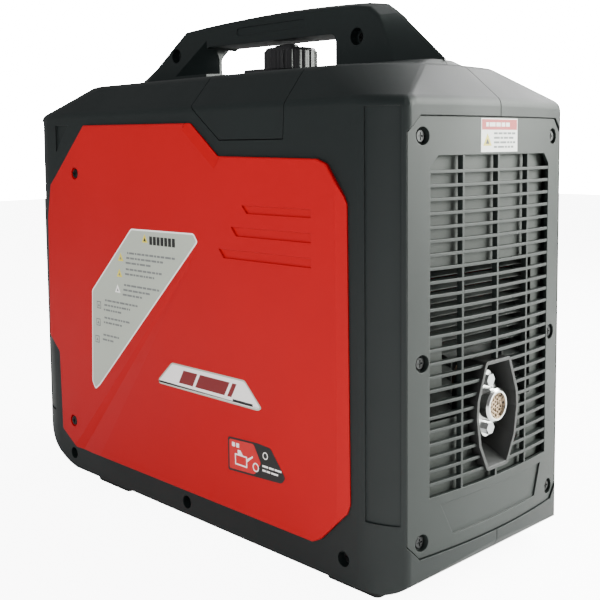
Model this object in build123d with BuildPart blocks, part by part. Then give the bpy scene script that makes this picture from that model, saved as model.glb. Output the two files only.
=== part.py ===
from build123d import *
import os
from math import atan2, cos, radians, sin, sqrt

# Portable inverter generator in a moulded suitcase body.
# +X is the exhaust end, -X the control panel, -Y the service side with the red maintenance cover,
# +Y the starter side, +Z up. The origin is on the floor under the middle of the machine.

# ---- driving dimensions (mm) ----
END_X = 286          # crest of each bowed end
SIDE_Y = 126         # flat long sides
CORNER_Y = 110       # where an end meets its drawn-in corners
STRAIGHT_X = 236     # where a long side starts to draw in
RIGHT_X = 277        # exhaust end at its corners
LEFT_X = 279         # panel end at its corners
BOTTOM_Z = 17        # lower edge of the shells
SHOULDER_Z = 418     # where walls turn into the sloping shoulders
RIDGE_Z = 450        # outer edge of the top
CROWN_Z = 456        # middle of the top
WALL = 3             # shell wall on the long sides
END_WALL = 7         # shell wall at both ends
GAP = 0.8            # seam round every cover
COVER_T = 3.6        # thickness of the two red side covers
FACE_Y = SIDE_Y + COVER_T
END_BOW_R = 670      # radius of the bowed exhaust cover
COVER_FACE_X = 284.6 # crest of the exhaust cover
GRILLE_PITCH = 11.1
SCREW_HEAD_R = 5.2
RECESS_R = 7.2
CRANK_Z = 140        # height of the crankshaft axis, which runs along X at y = 0
CYL_X = 92           # cylinder centre along the crankshaft
CYL_TILT = 20        # degrees that the cylinder leans towards the service side
CAP_X = 30           # fuel filler centre
PIPE_Z = 156         # tail pipe centre
HEADER_Y = -50       # exhaust header, where it drops into the muffler
PANEL_TOP = (-262, 418)      # x and z of the leaning panel end, at the shoulder
PANEL_FOOT = (-286, 190)     # and where it meets the vertical part of the end
GRIP_Z = 180         # height of the starter grip
GRIP_X = -73         # plane of the starter rope

os.makedirs("parts", exist_ok=True)


def save(piece, name):
    piece.part.label = name
    export_step(piece.part, f"parts/{name}.step")


def plan(straight_x, side_y, right, left, corner_y, right_bow, left_bow, corner_r=9):
    """Plan outline of the body: straight sides, drawn-in corners, bowed ends."""
    with BuildSketch() as outline:
        with BuildLine():
            Line((-straight_x, -side_y), (straight_x, -side_y))
            TangentArc((straight_x, -side_y), (right, -corner_y), tangent=(1, 0))
            ThreePointArc((right, -corner_y), (right + right_bow, 0), (right, corner_y))
            TangentArc((straight_x, side_y), (right, corner_y), tangent=(1, 0))
            Line((straight_x, side_y), (-straight_x, side_y))
            TangentArc((-straight_x, side_y), (-left, corner_y), tangent=(-1, 0))
            ThreePointArc((-left, corner_y), (-left - left_bow, 0), (-left, -corner_y))
            TangentArc((-straight_x, -side_y), (-left, -corner_y), tangent=(-1, 0))
        make_face()
        fillet(outline.vertices().filter_by(lambda v: abs(abs(v.Y) - corner_y) < 0.1), radius=corner_r)
    return outline.sketch


def side_profile(inset):
    """Side view of the body: leaning panel end, big rounded corner under it, low radius at the exhaust end."""
    foot_x, foot_z = PANEL_FOOT
    lean = (PANEL_TOP[0] - foot_x) / (PANEL_TOP[1] - foot_z)
    top_z = 480
    top_x = foot_x + lean * (top_z - foot_z) + inset
    low = BOTTOM_Z + inset
    with BuildSketch() as profile:
        with BuildLine():
            Line((top_x, top_z), (foot_x + inset, foot_z))
            Line((foot_x + inset, foot_z), (foot_x + inset, 105))
            ThreePointArc((foot_x + inset, 105), (-256 + inset * 0.7, 44 + inset * 0.7), (-200, low))
            Line((-200, low), (258, low))
            ThreePointArc((258, low), (278 - inset * 0.7, 26 + inset * 0.7), (290 - inset, 48))
            Line((290 - inset, 48), (290 - inset, top_z))
            Line((290 - inset, top_z), (top_x, top_z))
        make_face()
    return profile.sketch


def polygon(points, grow):
    """Face inside a closed outline, grown or shrunk by a distance."""
    with BuildSketch() as outline:
        with BuildLine():
            Polyline(*points, close=True)
        make_face()
        if grow:
            offset(amount=grow, kind=Kind.INTERSECTION)
    return outline.sketch


# ---- outer form of the body ----
with BuildPart() as outer_form:
    with BuildSketch(Plane.XY.offset(BOTTOM_Z)):
        add(plan(STRAIGHT_X, SIDE_Y, RIGHT_X, LEFT_X, CORNER_Y, END_X - RIGHT_X, END_X - LEFT_X))
    extrude(amount=SHOULDER_Z - BOTTOM_Z)
    with BuildSketch(Plane.XY.offset(SHOULDER_Z)):
        add(plan(STRAIGHT_X, SIDE_Y, RIGHT_X, LEFT_X, CORNER_Y, END_X - RIGHT_X, END_X - LEFT_X))
    with BuildSketch(Plane.XY.offset(RIDGE_Z)):
        add(plan(158, 98, 241, 241, 46, 6, 6, 20))
    loft(ruled=True)
    fillet(outer_form.edges().filter_by_position(Axis.Z, SHOULDER_Z - 0.2, SHOULDER_Z + 0.2), radius=10)
    fillet(outer_form.edges().filter_by_position(Axis.Z, RIDGE_Z - 0.2, RIDGE_Z + 0.2), radius=14)
    with BuildSketch(Plane.XY.offset(RIDGE_Z - 0.6)):
        add(plan(150, 86, 226, 226, 40, 5, 5, 20))
    with BuildSketch(Plane.XY.offset(CROWN_Z)):
        add(plan(140, 30, 222, 222, 20, 4, 4, 12))
    loft(ruled=True)
    with BuildSketch(Plane.XZ.offset(-200)):
        add(side_profile(0))
    extrude(amount=400, mode=Mode.INTERSECT)

# ---- hollow inside of the body ----
with BuildPart() as inner_form:
    with BuildSketch(Plane.XY.offset(BOTTOM_Z)):
        add(plan(STRAIGHT_X, SIDE_Y - WALL, RIGHT_X - END_WALL, LEFT_X - END_WALL, CORNER_Y - 4,
                  END_X - RIGHT_X, END_X - LEFT_X))
    extrude(amount=SHOULDER_Z - 4 - BOTTOM_Z)
    with BuildSketch(Plane.XY.offset(SHOULDER_Z - 4)):
        add(plan(STRAIGHT_X, SIDE_Y - WALL, RIGHT_X - END_WALL, LEFT_X - END_WALL, CORNER_Y - 4,
                  END_X - RIGHT_X, END_X - LEFT_X))
    with BuildSketch(Plane.XY.offset(RIDGE_Z - 4)):
        add(plan(156, 94, 234, 234, 44, 5, 5, 20))
    loft(ruled=True)
    with BuildSketch(Plane.XZ.offset(-200)):
        add(side_profile(END_WALL))
    extrude(amount=400, mode=Mode.INTERSECT)
    with BuildSketch(Plane.XY.offset(BOTTOM_Z - 5)):
        with Locations((28, 0)):
            RectangleRounded(452, 2 * (SIDE_Y - WALL), 8)
    extrude(amount=40)

# ---- outlines of the covers ----
COVER_OUTLINE = [
    (-161, 406), (25, 404), (65, 373), (194, 371), (205, 367), (224, 341), (227, 335), (229, 86),
    (226, 78), (196, 48), (186, 43), (-195, 43), (-223, 59), (-225, 149), (-245, 166), (-241, 304),
    (-233, 341), (-219, 353)]
SERVICE_OUTLINE = [(24, 470), (24, 420), (66, 388), (151, 388), (153, 420), (150, 470)]
END_COVER_HALF, END_COVER_LOW, END_COVER_TOP, END_COVER_CUT = 110, 46, 404, 13


def end_outline(grow):
    """End cover seen along X: a rectangle with its four corners cut off."""
    y, low, top, cut = END_COVER_HALF + grow, END_COVER_LOW - grow, END_COVER_TOP + grow, END_COVER_CUT
    return polygon([(-y, low + cut), (-y, top - cut), (-y + cut, top), (y - cut, top), (y, top - cut),
                    (y, low + cut), (y - cut, low), (-y + cut, low)], 0)


PANEL_LEAN = atan2(PANEL_TOP[0] - PANEL_FOOT[0], PANEL_TOP[1] - PANEL_FOOT[1])
PANEL_MID_Z = 300
PANEL_MID_X = PANEL_FOOT[0] + (PANEL_MID_Z - PANEL_FOOT[1]) * sin(PANEL_LEAN) / cos(PANEL_LEAN)
# on the panel plane x runs to the user's right (-Y), y up the panel, z out towards the user
PANEL = Plane(origin=(PANEL_MID_X, 0, PANEL_MID_Z), x_dir=(0, -1, 0),
              z_dir=(-cos(PANEL_LEAN), 0, sin(PANEL_LEAN)))
PANEL_W, PANEL_H = 200, 200
SHELL_SCREWS = [(-205, 33), (6, 30), (220, 37)]
END_SCREWS = [(sign * 94.4, z) for sign in (-1, 1) for z in (58.4, 206.9, 388.4)]
COVER_SCREWS = [(-180, 354), (-198, 73)]

# ---- whole shell before it is split along the middle ----
with BuildPart() as shell:
    add(outer_form.part)
    add(inner_form.part, mode=Mode.SUBTRACT)
    # bosses behind the case screws
    for sx, sz in SHELL_SCREWS:
        for side in (-1, 1):
            with BuildSketch(Plane.XZ.offset(side * (SIDE_Y - 14))):
                with Locations((sx, sz)):
                    Circle(8)
            extrude(amount=side * 12)
    # pocket and window for the exhaust cover
    with BuildSketch(Plane.YZ.offset(240)) as pocket_outline:
        add(end_outline(GAP))
    pocket = extrude(amount=60, mode=Mode.PRIVATE)
    with BuildSketch(Plane.XY.offset(20), mode=Mode.PRIVATE) as pocket_floor:
        with Locations((COVER_FACE_X - END_BOW_R, 0)):
            Circle(END_BOW_R - 3.4)
    floor_core = extrude(pocket_floor.sketch, amount=420, mode=Mode.PRIVATE)
    add(pocket - floor_core, mode=Mode.SUBTRACT)
    with BuildSketch(Plane.YZ.offset(240)):
        with Locations((0, 225)):
            Rectangle(176, 330)
    extrude(amount=60, mode=Mode.SUBTRACT)
    # openings behind the two side covers
    for side in (-1, 1):
        with BuildSketch(Plane.XZ.offset(-side * 110)):
            add(polygon(COVER_OUTLINE, -13))
            with Locations(COVER_SCREWS):
                Circle(16, mode=Mode.SUBTRACT)
        extrude(amount=-side * 30, mode=Mode.SUBTRACT)
    # opening under the spark plug cover
    with BuildSketch(Plane.XZ.offset(88)):
        add(polygon(SERVICE_OUTLINE, GAP))
    extrude(amount=50, mode=Mode.SUBTRACT)
    # opening for the control panel
    with BuildSketch(PANEL.offset(-40)):
        RectangleRounded(PANEL_W, PANEL_H, 10)
    extrude(amount=60, mode=Mode.SUBTRACT)
    # filler hole
    with BuildSketch(Plane.XY.offset(430)):
        with Locations((CAP_X, 0)):
            Circle(33)
    extrude(amount=40, mode=Mode.SUBTRACT)
    # screw recesses low on the long sides
    for sx, sz in SHELL_SCREWS:
        for side in (-1, 1):
            with BuildSketch(Plane.XZ.offset(side * (SIDE_Y + 2))):
                with Locations((sx, sz)):
                    Circle(6.5)
            extrude(amount=-side * 10, mode=Mode.SUBTRACT)
            with BuildSketch(Plane.XZ.offset(side * SIDE_Y)):
                with Locations((sx, sz)):
                    Circle(2.7)
            extrude(amount=-side * 20, mode=Mode.SUBTRACT)
    for sx, sz in COVER_SCREWS:
        with BuildSketch(Plane.XZ.offset(-SIDE_Y)):
            with Locations((sx, sz)):
                Circle(2.7)
        extrude(amount=2 * SIDE_Y, mode=Mode.SUBTRACT)
    with BuildSketch(Plane.YZ.offset(272)):
        with Locations(END_SCREWS):
            Circle(9.2)
    extrude(amount=20, mode=Mode.SUBTRACT)
    with BuildSketch(Plane.YZ.offset(262)):
        with Locations(END_SCREWS):
            Circle(2.7)
    extrude(amount=20, mode=Mode.SUBTRACT)
    # triangular finger marks at the upper panel corners
    for side in (-1, 1):
        with BuildSketch(Plane.XZ.offset(side * (SIDE_Y + 1))):
            add(polygon([(-224, 407), (-196, 407), (-224, 377)], 0))
        extrude(amount=-side * 3, mode=Mode.SUBTRACT)
    # shallow flutes down the four corners
    with BuildSketch(Plane.XY.offset(76), mode=Mode.PRIVATE) as flute_outer:
        add(plan(STRAIGHT_X, SIDE_Y, RIGHT_X, LEFT_X, CORNER_Y, END_X - RIGHT_X, END_X - LEFT_X))
    with BuildSketch(Plane.XY.offset(76), mode=Mode.PRIVATE) as flute_inner:
        add(plan(STRAIGHT_X, SIDE_Y - 1.6, RIGHT_X - 1.6, LEFT_X - 1.6, CORNER_Y, END_X - RIGHT_X,
                 END_X - LEFT_X))
    skin = extrude(flute_outer.sketch, amount=336, mode=Mode.PRIVATE) - extrude(
        flute_inner.sketch, amount=336, mode=Mode.PRIVATE)
    for x in (-258, 258):
        for y in (-122, 122):
            zone = Pos(x, y, 244) * Box(28, 20, 336, mode=Mode.PRIVATE)
            add(skin & zone, mode=Mode.SUBTRACT)

with BuildPart() as service_side_shell:
    add(shell.part)
    split(bisect_by=Plane.XZ.offset(GAP / 2), keep=Keep.TOP)
with BuildPart() as starter_side_shell:
    add(shell.part)
    split(bisect_by=Plane.XZ.offset(-GAP / 2), keep=Keep.BOTTOM)
save(service_side_shell, "service_side_shell")
save(starter_side_shell, "starter_side_shell")

# ---- spark plug cover: a piece of the shoulder with its own seam ----
with BuildPart() as spark_plug_cover:
    with BuildSketch(Plane.XZ.offset(88.8)):
        add(polygon(SERVICE_OUTLINE, 0))
    extrude(amount=50)
    add(outer_form.part, mode=Mode.INTERSECT)
    add(inner_form.part, mode=Mode.SUBTRACT)
save(spark_plug_cover, "spark_plug_cover")

# ---- red side covers: flat plates with bevelled bands and one long diagonal crease ----
SLOT_ROWS = [(322, 329, 100), (301, 309, 85), (280, 288, 67)]
SLOT_END = 188


def falling_band(p, q, run, drop):
    """Wedge that bevels the cover face beside its edge p-q, seen with the outside on the right."""
    start = Vector(p[0], -FACE_Y, p[1])
    along = (Vector(q[0], -FACE_Y, q[1]) - start).normalized()
    length = sqrt((q[0] - p[0]) ** 2 + (q[1] - p[1]) ** 2)
    with BuildPart() as wedge:
        with BuildSketch(Plane(origin=start, x_dir=(along.Z, 0, -along.X), z_dir=along)):
            add(polygon([(-run, 0), (-run, -1), (4, -1), (4, drop * (run + 4) / run)], 0))
        extrude(amount=length)
    return wedge.part


with BuildPart() as cover_blank:
    with BuildSketch(Plane.XZ.offset(SIDE_Y)) as cover_face:
        add(polygon(COVER_OUTLINE, 0))
        fillet(cover_face.vertices(), radius=4)
    extrude(amount=COVER_T)
    chamfer(cover_blank.faces().sort_by(Axis.Y)[0].edges(), length=0.9)
    add(falling_band((229, 60), (229, 350), 13, 2.4), mode=Mode.SUBTRACT)
    add(falling_band((69, 370), (21, 407), 11, 2.2), mode=Mode.SUBTRACT)
    # crease: a narrow falling band, then a long rise back to the face
    with BuildSketch(Plane.XY.offset(42)):
        add(polygon([(-202, -FACE_Y - 0.3), (-182, -FACE_Y + 1.9), (-141, -FACE_Y - 0.3)], 0))
    with BuildSketch(Plane.XY.offset(310)):
        add(polygon([(57, -FACE_Y - 0.3), (58, -FACE_Y - 0.1), (59, -FACE_Y - 0.3)], 0))
    loft(ruled=True, mode=Mode.SUBTRACT)
    # locating lip behind the plate
    with BuildSketch(Plane.XZ.offset(SIDE_Y)):
        add(polygon(COVER_OUTLINE, -14))
        add(polygon(COVER_OUTLINE, -16.5), mode=Mode.SUBTRACT)
        with Locations(COVER_SCREWS):
            Circle(17, mode=Mode.SUBTRACT)
    extrude(amount=-6)
    with BuildSketch(Plane.XZ.offset(FACE_Y)):
        with Locations(COVER_SCREWS):
            Circle(6.6)
    extrude(amount=-2.6, mode=Mode.SUBTRACT)
    with BuildSketch(Plane.XZ.offset(FACE_Y)):
        with Locations(COVER_SCREWS):
            Circle(2.7)
    extrude(amount=-10, mode=Mode.SUBTRACT)

with BuildPart() as maintenance_cover:
    add(cover_blank.part)
    for low, high, left in SLOT_ROWS:
        with BuildSketch(Plane.XZ.offset(FACE_Y)):
            add(polygon([(left, high), (left + 7, low), (SLOT_END, low), (SLOT_END, high)], 0))
        extrude(amount=-1.8, mode=Mode.SUBTRACT)
save(maintenance_cover, "maintenance_cover")

CUP_W, CUP_H, CUP_DEEP = 104, 36, 25
with BuildPart() as starter_cover:
    add(cover_blank.part)
    with BuildSketch(Plane.XZ.offset(SIDE_Y + 1)):
        with Locations((GRIP_X, GRIP_Z)):
            RectangleRounded(CUP_W, CUP_H, 8)
    extrude(amount=-CUP_DEEP)
    with BuildSketch(Plane.XZ.offset(FACE_Y + 1)):
        with Locations((GRIP_X, GRIP_Z)):
            RectangleRounded(CUP_W - 4, CUP_H - 4, 6)
    extrude(amount=-CUP_DEEP - 1.5, mode=Mode.SUBTRACT)
    with BuildSketch(Plane.XZ.offset(FACE_Y + 1)):
        with Locations((GRIP_X, GRIP_Z)):
            Circle(6)
    extrude(amount=-40, mode=Mode.SUBTRACT)
    # cooling air slots above and below the starter grip
    for z in [88 + 9 * row for row in range(7)] + [214 + 9 * row for row in range(13)]:
        for x in (-139, -73, -7):
            with BuildSketch(Plane.XZ.offset(FACE_Y + 1)):
                with Locations((x, z)):
                    SlotOverall(58, 4.4)
            extrude(amount=-20, mode=Mode.SUBTRACT)
    mirror(about=Plane.XZ, mode=Mode.REPLACE)
save(starter_cover, "starter_cover")


def pan_screws(places, plane, reach):
    """Pan-head screws with a cross recess, one solid each, standing on a plane."""
    with BuildPart() as screws:
        with BuildSketch(plane):
            with Locations(places):
                Circle(SCREW_HEAD_R)
        extrude(amount=2.2)
        chamfer(screws.faces().filter_by(lambda f: f.normal_at().dot(plane.z_dir) > 0.9).edges(), length=0.7)
        with BuildSketch(plane):
            with Locations(places):
                Circle(2.4)
        extrude(amount=-reach)
        with BuildSketch(plane.offset(1.1)):
            with Locations(places):
                Rectangle(6.2, 1.2)
                Rectangle(1.2, 6.2)
        extrude(amount=2, mode=Mode.SUBTRACT)
    return screws.part


SERVICE_FACE = Plane.XZ.offset(FACE_Y - 2.6)
STARTER_FACE = Plane(origin=(0, FACE_Y - 2.6, 0), x_dir=(-1, 0, 0), z_dir=(0, 1, 0))
with BuildPart() as side_cover_screws:
    add(pan_screws(COVER_SCREWS, SERVICE_FACE, 14))
    add(pan_screws([(-x, z) for x, z in COVER_SCREWS], STARTER_FACE, 14))
save(side_cover_screws, "side_cover_screws")

with BuildPart() as case_screws:
    for side in (-1, 1):
        case_plane = Plane(origin=(0, side * (SIDE_Y - 8), 0), x_dir=(-side, 0, 0), z_dir=(0, side, 0))
        add(pan_screws([(-side * x, z) for x, z in SHELL_SCREWS], case_plane, 3))
save(case_screws, "case_screws")

# ---- exhaust cover: bowed plate with a slatted grille ----
BOW_X = COVER_FACE_X - END_BOW_R


def bowed_band(front, depth):
    """Upright band that follows the bow of the exhaust cover, front below its face, depth thick."""
    with BuildPart() as band:
        with BuildSketch(Plane.XY.offset(20)):
            with Locations((BOW_X, 0)):
                Circle(END_BOW_R - front)
                Circle(END_BOW_R - front - depth, mode=Mode.SUBTRACT)
        extrude(amount=420)
    return band.part


GRILLE_HALF, GRILLE_LOW, GRILLE_TOP, GRILLE_CUT = 86, 94, 373, 9
GRILLE_OUTLINE = [
    (-GRILLE_HALF, GRILLE_LOW), (-GRILLE_HALF, GRILLE_TOP - GRILLE_CUT), (-GRILLE_HALF + GRILLE_CUT, GRILLE_TOP),
    (GRILLE_HALF - GRILLE_CUT, GRILLE_TOP), (GRILLE_HALF, GRILLE_TOP - GRILLE_CUT), (GRILLE_HALF, GRILLE_LOW)]
SLATS = [GRILLE_TOP - 13 - GRILLE_PITCH * row for row in range(24)]
SHROUD_OUTLINE = [(-18, 197), (18, 197), (30, 165), (31, 150), (27, 125), (15, 101), (-15, 101),
                  (-27, 125), (-31, 150), (-30, 165)]
with BuildPart() as grille_bars:
    with BuildSketch(Plane.YZ.offset(250)):
        with Locations([(0, z) for z in SLATS]):
            Rectangle(2 * GRILLE_HALF + 2, 2.6)
        with Locations([(y, (GRILLE_LOW + GRILLE_TOP) / 2) for y in (-47, 0, 47)]):
            Rectangle(2.4, GRILLE_TOP - GRILLE_LOW + 2)
    extrude(amount=50)
    add(bowed_band(0.3, 5), mode=Mode.INTERSECT)
with BuildPart() as exhaust_end_cover:
    with BuildSketch(Plane.YZ.offset(250)):
        add(end_outline(0))
        add(polygon(GRILLE_OUTLINE, 0), mode=Mode.SUBTRACT)
    extrude(amount=50)
    add(bowed_band(0, 3.2), mode=Mode.INTERSECT)
    add(grille_bars.part)
    # hole for the exhaust shroud
    with BuildSketch(Plane.YZ.offset(250)):
        add(polygon(SHROUD_OUTLINE, 0.4))
    extrude(amount=50, mode=Mode.SUBTRACT)
    # cupped seats for the six screws
    with BuildSketch(Plane.YZ.offset(272.2)):
        with Locations(END_SCREWS):
            Circle(8.8)
    extrude(amount=3.4)
    with BuildSketch(Plane.YZ.offset(273.4)):
        with Locations(END_SCREWS):
            Circle(RECESS_R)
    extrude(amount=20, mode=Mode.SUBTRACT)
    with BuildSketch(Plane.YZ.offset(260)):
        with Locations(END_SCREWS):
            Circle(2.7)
    extrude(amount=20, mode=Mode.SUBTRACT)
    # shallow stamped field under the grille
    with BuildSketch(Plane.YZ.offset(250)):
        add(polygon([(-73, 86), (77, 86), (66, 57), (-58, 57)], 0))
    stamped = extrude(amount=50, mode=Mode.PRIVATE)
    add(stamped & bowed_band(-1, 2.6), mode=Mode.SUBTRACT)
save(exhaust_end_cover, "exhaust_end_cover")

with BuildPart() as end_cover_screws:
    add(pan_screws(END_SCREWS, Plane.YZ.offset(273.4), 7))
save(end_cover_screws, "end_cover_screws")

# ---- labels: three on the maintenance cover, one on the exhaust cover ----
LABEL_T = 0.4
WARNING_LABEL = [(-74, 299), (30, 300), (36, 292), (-141, 124), (-150, 118), (-156, 126), (-151, 228)]
BADGE = [(-9, 169.5), (101, 170), (124, 148), (119, 145), (-31, 145), (-32, 149)]
OIL_LABEL = [(76, 113), (117, 115), (135, 114), (154, 91), (149, 85), (76, 81)]
with BuildPart() as end_label:
    with BuildSketch(Plane.YZ.offset(250)):
        with Locations((5, 389)):
            RectangleRounded(53, 28, 1.5)
    extrude(amount=50)
    add(bowed_band(-0.3, 0.3), mode=Mode.INTERSECT)
with BuildPart() as labels:
    for outline_points in (WARNING_LABEL, BADGE, OIL_LABEL):
        with BuildSketch(Plane.XZ.offset(FACE_Y)) as label_face:
            add(polygon(outline_points, 0))
            fillet(label_face.vertices(), radius=2.5)
        extrude(amount=LABEL_T)
    add(end_label.part)
save(labels, "labels")

# blanking plate behind the grille, open only in front of the louvres; a tab stands out from one edge
LOUVRE_LEFT, LOUVRE_RIGHT, LOUVRE_LOW, LOUVRE_TOP = -86, 67, 154, 281
LOUVRE_WINDOW = [(LOUVRE_LEFT, LOUVRE_TOP), (LOUVRE_LEFT, 226), (-64, 226), (-64, 180), (LOUVRE_LEFT, 180),
                 (LOUVRE_LEFT, LOUVRE_LOW), (LOUVRE_RIGHT, LOUVRE_LOW), (LOUVRE_RIGHT, LOUVRE_TOP)]
with BuildPart() as grille_blanking_plate:
    with BuildSketch(Plane.YZ.offset(240)):
        with Locations((0, 233)):
            Rectangle(176, 282)
        add(polygon(LOUVRE_WINDOW, 0), mode=Mode.SUBTRACT)
        add(polygon(SHROUD_OUTLINE, 0.6), mode=Mode.SUBTRACT)
    extrude(amount=60)
    add(bowed_band(7.5, 2), mode=Mode.INTERSECT)
save(grille_blanking_plate, "grille_blanking_plate")

# exhaust shroud: a deep lens-shaped cup round the tail pipe
SHROUD_BACK_X, SHROUD_FRONT_X = 258, 286
with BuildPart() as exhaust_shroud:
    with BuildSketch(Plane.YZ.offset(SHROUD_BACK_X)) as shroud_face:
        add(polygon(SHROUD_OUTLINE, 0))
        fillet(shroud_face.vertices().filter_by(lambda v: abs(v.Y) > 12), radius=4)
    extrude(amount=SHROUD_FRONT_X - SHROUD_BACK_X)
    with BuildSketch(Plane.YZ.offset(SHROUD_BACK_X + 2)):
        add(polygon([(0.8 * y, PIPE_Z + 0.70 * (z - PIPE_Z)) for y, z in SHROUD_OUTLINE], 0))
    with BuildSketch(Plane.YZ.offset(SHROUD_FRONT_X)):
        add(polygon(SHROUD_OUTLINE, -3))
    loft(ruled=True, mode=Mode.SUBTRACT)
    with BuildSketch(Plane.YZ.offset(SHROUD_BACK_X - 1)):
        with Locations((0, PIPE_Z)):
            SlotOverall(64, 40, rotation=90)
    extrude(amount=4, mode=Mode.SUBTRACT)
save(exhaust_shroud, "exhaust_shroud")

# louvre baffle: sheet with blades that let the cooling air out over the muffler
BLADE_SPLIT_Z, BLADE_SPLIT_Y = 204, 38
BLADE_SETS = [  # low edge, high edge, y from, y to, first blade, number of blades
    (BLADE_SPLIT_Z, LOUVRE_TOP, LOUVRE_LEFT, LOUVRE_RIGHT, 205.4, 7),
    (LOUVRE_LOW, BLADE_SPLIT_Z - 1, LOUVRE_LEFT, -BLADE_SPLIT_Y, 156, 4),
    (LOUVRE_LOW, BLADE_SPLIT_Z - 1, BLADE_SPLIT_Y, LOUVRE_RIGHT, 156, 4)]
with BuildPart() as louvre_baffle:
    with BuildSketch(Plane.YZ.offset(252)):
        with Locations((0, 225)):
            Rectangle(206, 330)
        for low, high, start, end, first, count in BLADE_SETS:
            with Locations(((start + end) / 2, (low + high) / 2)):
                Rectangle(end - start, high - low, mode=Mode.SUBTRACT)
        with Locations((0, PIPE_Z)):
            SlotOverall(80, 48, rotation=90, mode=Mode.SUBTRACT)
    extrude(amount=1.6)
    for low, high, start, end, first, count in BLADE_SETS:
        for z in [first + GRILLE_PITCH * row for row in range(count)]:
            with BuildSketch(Plane.XZ.offset(-start)):
                add(polygon([(253, z + 8), (255, z + 8), (265.5, z + 1), (264, z)], 0))
            extrude(amount=start - end)
        for y in (start - 1, end):
            with BuildSketch(Plane.XZ.offset(-y)):
                add(polygon([(252.5, low), (264, low + 4), (264, high - 4), (252.5, high)], 0))
            extrude(amount=-1)
save(louvre_baffle, "louvre_baffle")

# ---- silencer and tail pipe ----
MUFFLER_X, MUFFLER_L = 172, 72
with BuildPart() as muffler:
    with BuildSketch(Plane.YZ.offset(MUFFLER_X)):
        with Locations((0, 165)):
            RectangleRounded(160, 140, 38)
    extrude(amount=MUFFLER_L)
    fillet(muffler.faces().group_by(Axis.X)[0].edges() + muffler.faces().group_by(Axis.X)[-1].edges(), radius=9)
    with BuildSketch(Plane.YZ.offset(MUFFLER_X + MUFFLER_L / 2 - 1.5)):
        with Locations((0, 165)):
            RectangleRounded(168, 148, 42)
    extrude(amount=3)
    with BuildSketch(Plane.YZ.offset(MUFFLER_X + 1.5)):
        with Locations((0, 165)):
            RectangleRounded(150, 130, 33)
    extrude(amount=MUFFLER_L - 3, mode=Mode.SUBTRACT)
    with BuildSketch(Plane.YZ.offset(MUFFLER_X + MUFFLER_L - 1)):
        with Locations((0, PIPE_Z)):
            SlotOverall(58, 26, rotation=90)
    extrude(amount=26)
    with BuildSketch(Plane.YZ.offset(MUFFLER_X + MUFFLER_L - 3)):
        with Locations((0, PIPE_Z)):
            Circle(10.5)
    extrude(amount=40, mode=Mode.SUBTRACT)
    with BuildSketch(Plane.XY.offset(220)):
        with Locations((200, HEADER_Y)):
            Circle(11.05)
    extrude(amount=30, mode=Mode.SUBTRACT)
save(muffler, "muffler")

FLANGE_X = MUFFLER_X + MUFFLER_L + 25
with BuildPart() as tail_pipe:
    with BuildSketch(Plane.YZ.offset(FLANGE_X)) as flange_face:
        with Locations((0, PIPE_Z)):
            Circle(18)
        with Locations((0, PIPE_Z - 21.5), (0, PIPE_Z + 21.5)):
            Circle(8)
        make_hull()
    extrude(amount=5)
    with BuildSketch(Plane.YZ.offset(FLANGE_X)):
        with Locations((0, PIPE_Z)):
            Circle(15)
    extrude(amount=END_X - FLANGE_X)
    chamfer(tail_pipe.faces().sort_by(Axis.X)[-1].edges(), length=2)
    with BuildSketch(Plane.YZ.offset(FLANGE_X)):
        with Locations((0, PIPE_Z)):
            Circle(11.5)
    extrude(amount=30, mode=Mode.SUBTRACT)
    with BuildSketch(Plane.YZ.offset(FLANGE_X)):
        with Locations((0, PIPE_Z - 21.5), (0, PIPE_Z + 21.5)):
            Circle(3.2)
    extrude(amount=10, mode=Mode.SUBTRACT)
save(tail_pipe, "tail_pipe")

with BuildPart() as tail_pipe_bolts:
    with BuildSketch(Plane.YZ.offset(FLANGE_X + 5)):
        with Locations((0, PIPE_Z - 21.5), (0, PIPE_Z + 21.5)):
            RegularPolygon(5.6, 6)
    extrude(amount=4.5)
    with BuildSketch(Plane.YZ.offset(FLANGE_X + 0.5)):
        with Locations((0, PIPE_Z - 21.5), (0, PIPE_Z + 21.5)):
            Circle(3)
    extrude(amount=5)
save(tail_pipe_bolts, "tail_pipe_bolts")

with BuildPart() as spark_arrestor_screen:
    with BuildSketch(Plane.YZ.offset(FLANGE_X + 13.5)):
        with Locations((0, PIPE_Z)):
            Circle(11.4)
            with HexLocations(1.9, 5, 5):
                Circle(1.0, mode=Mode.SUBTRACT)
    extrude(amount=0.8)
save(spark_arrestor_screen, "spark_arrestor_screen")

# ---- carrying handle: two halves bolted together, prow-shaped at both ends ----
HANDLE_HALF_T = 21
HANDLE_BASE_Z = CROWN_Z
HANDLE_SCREWS = [(141, 482), (-135, 484)]


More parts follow.
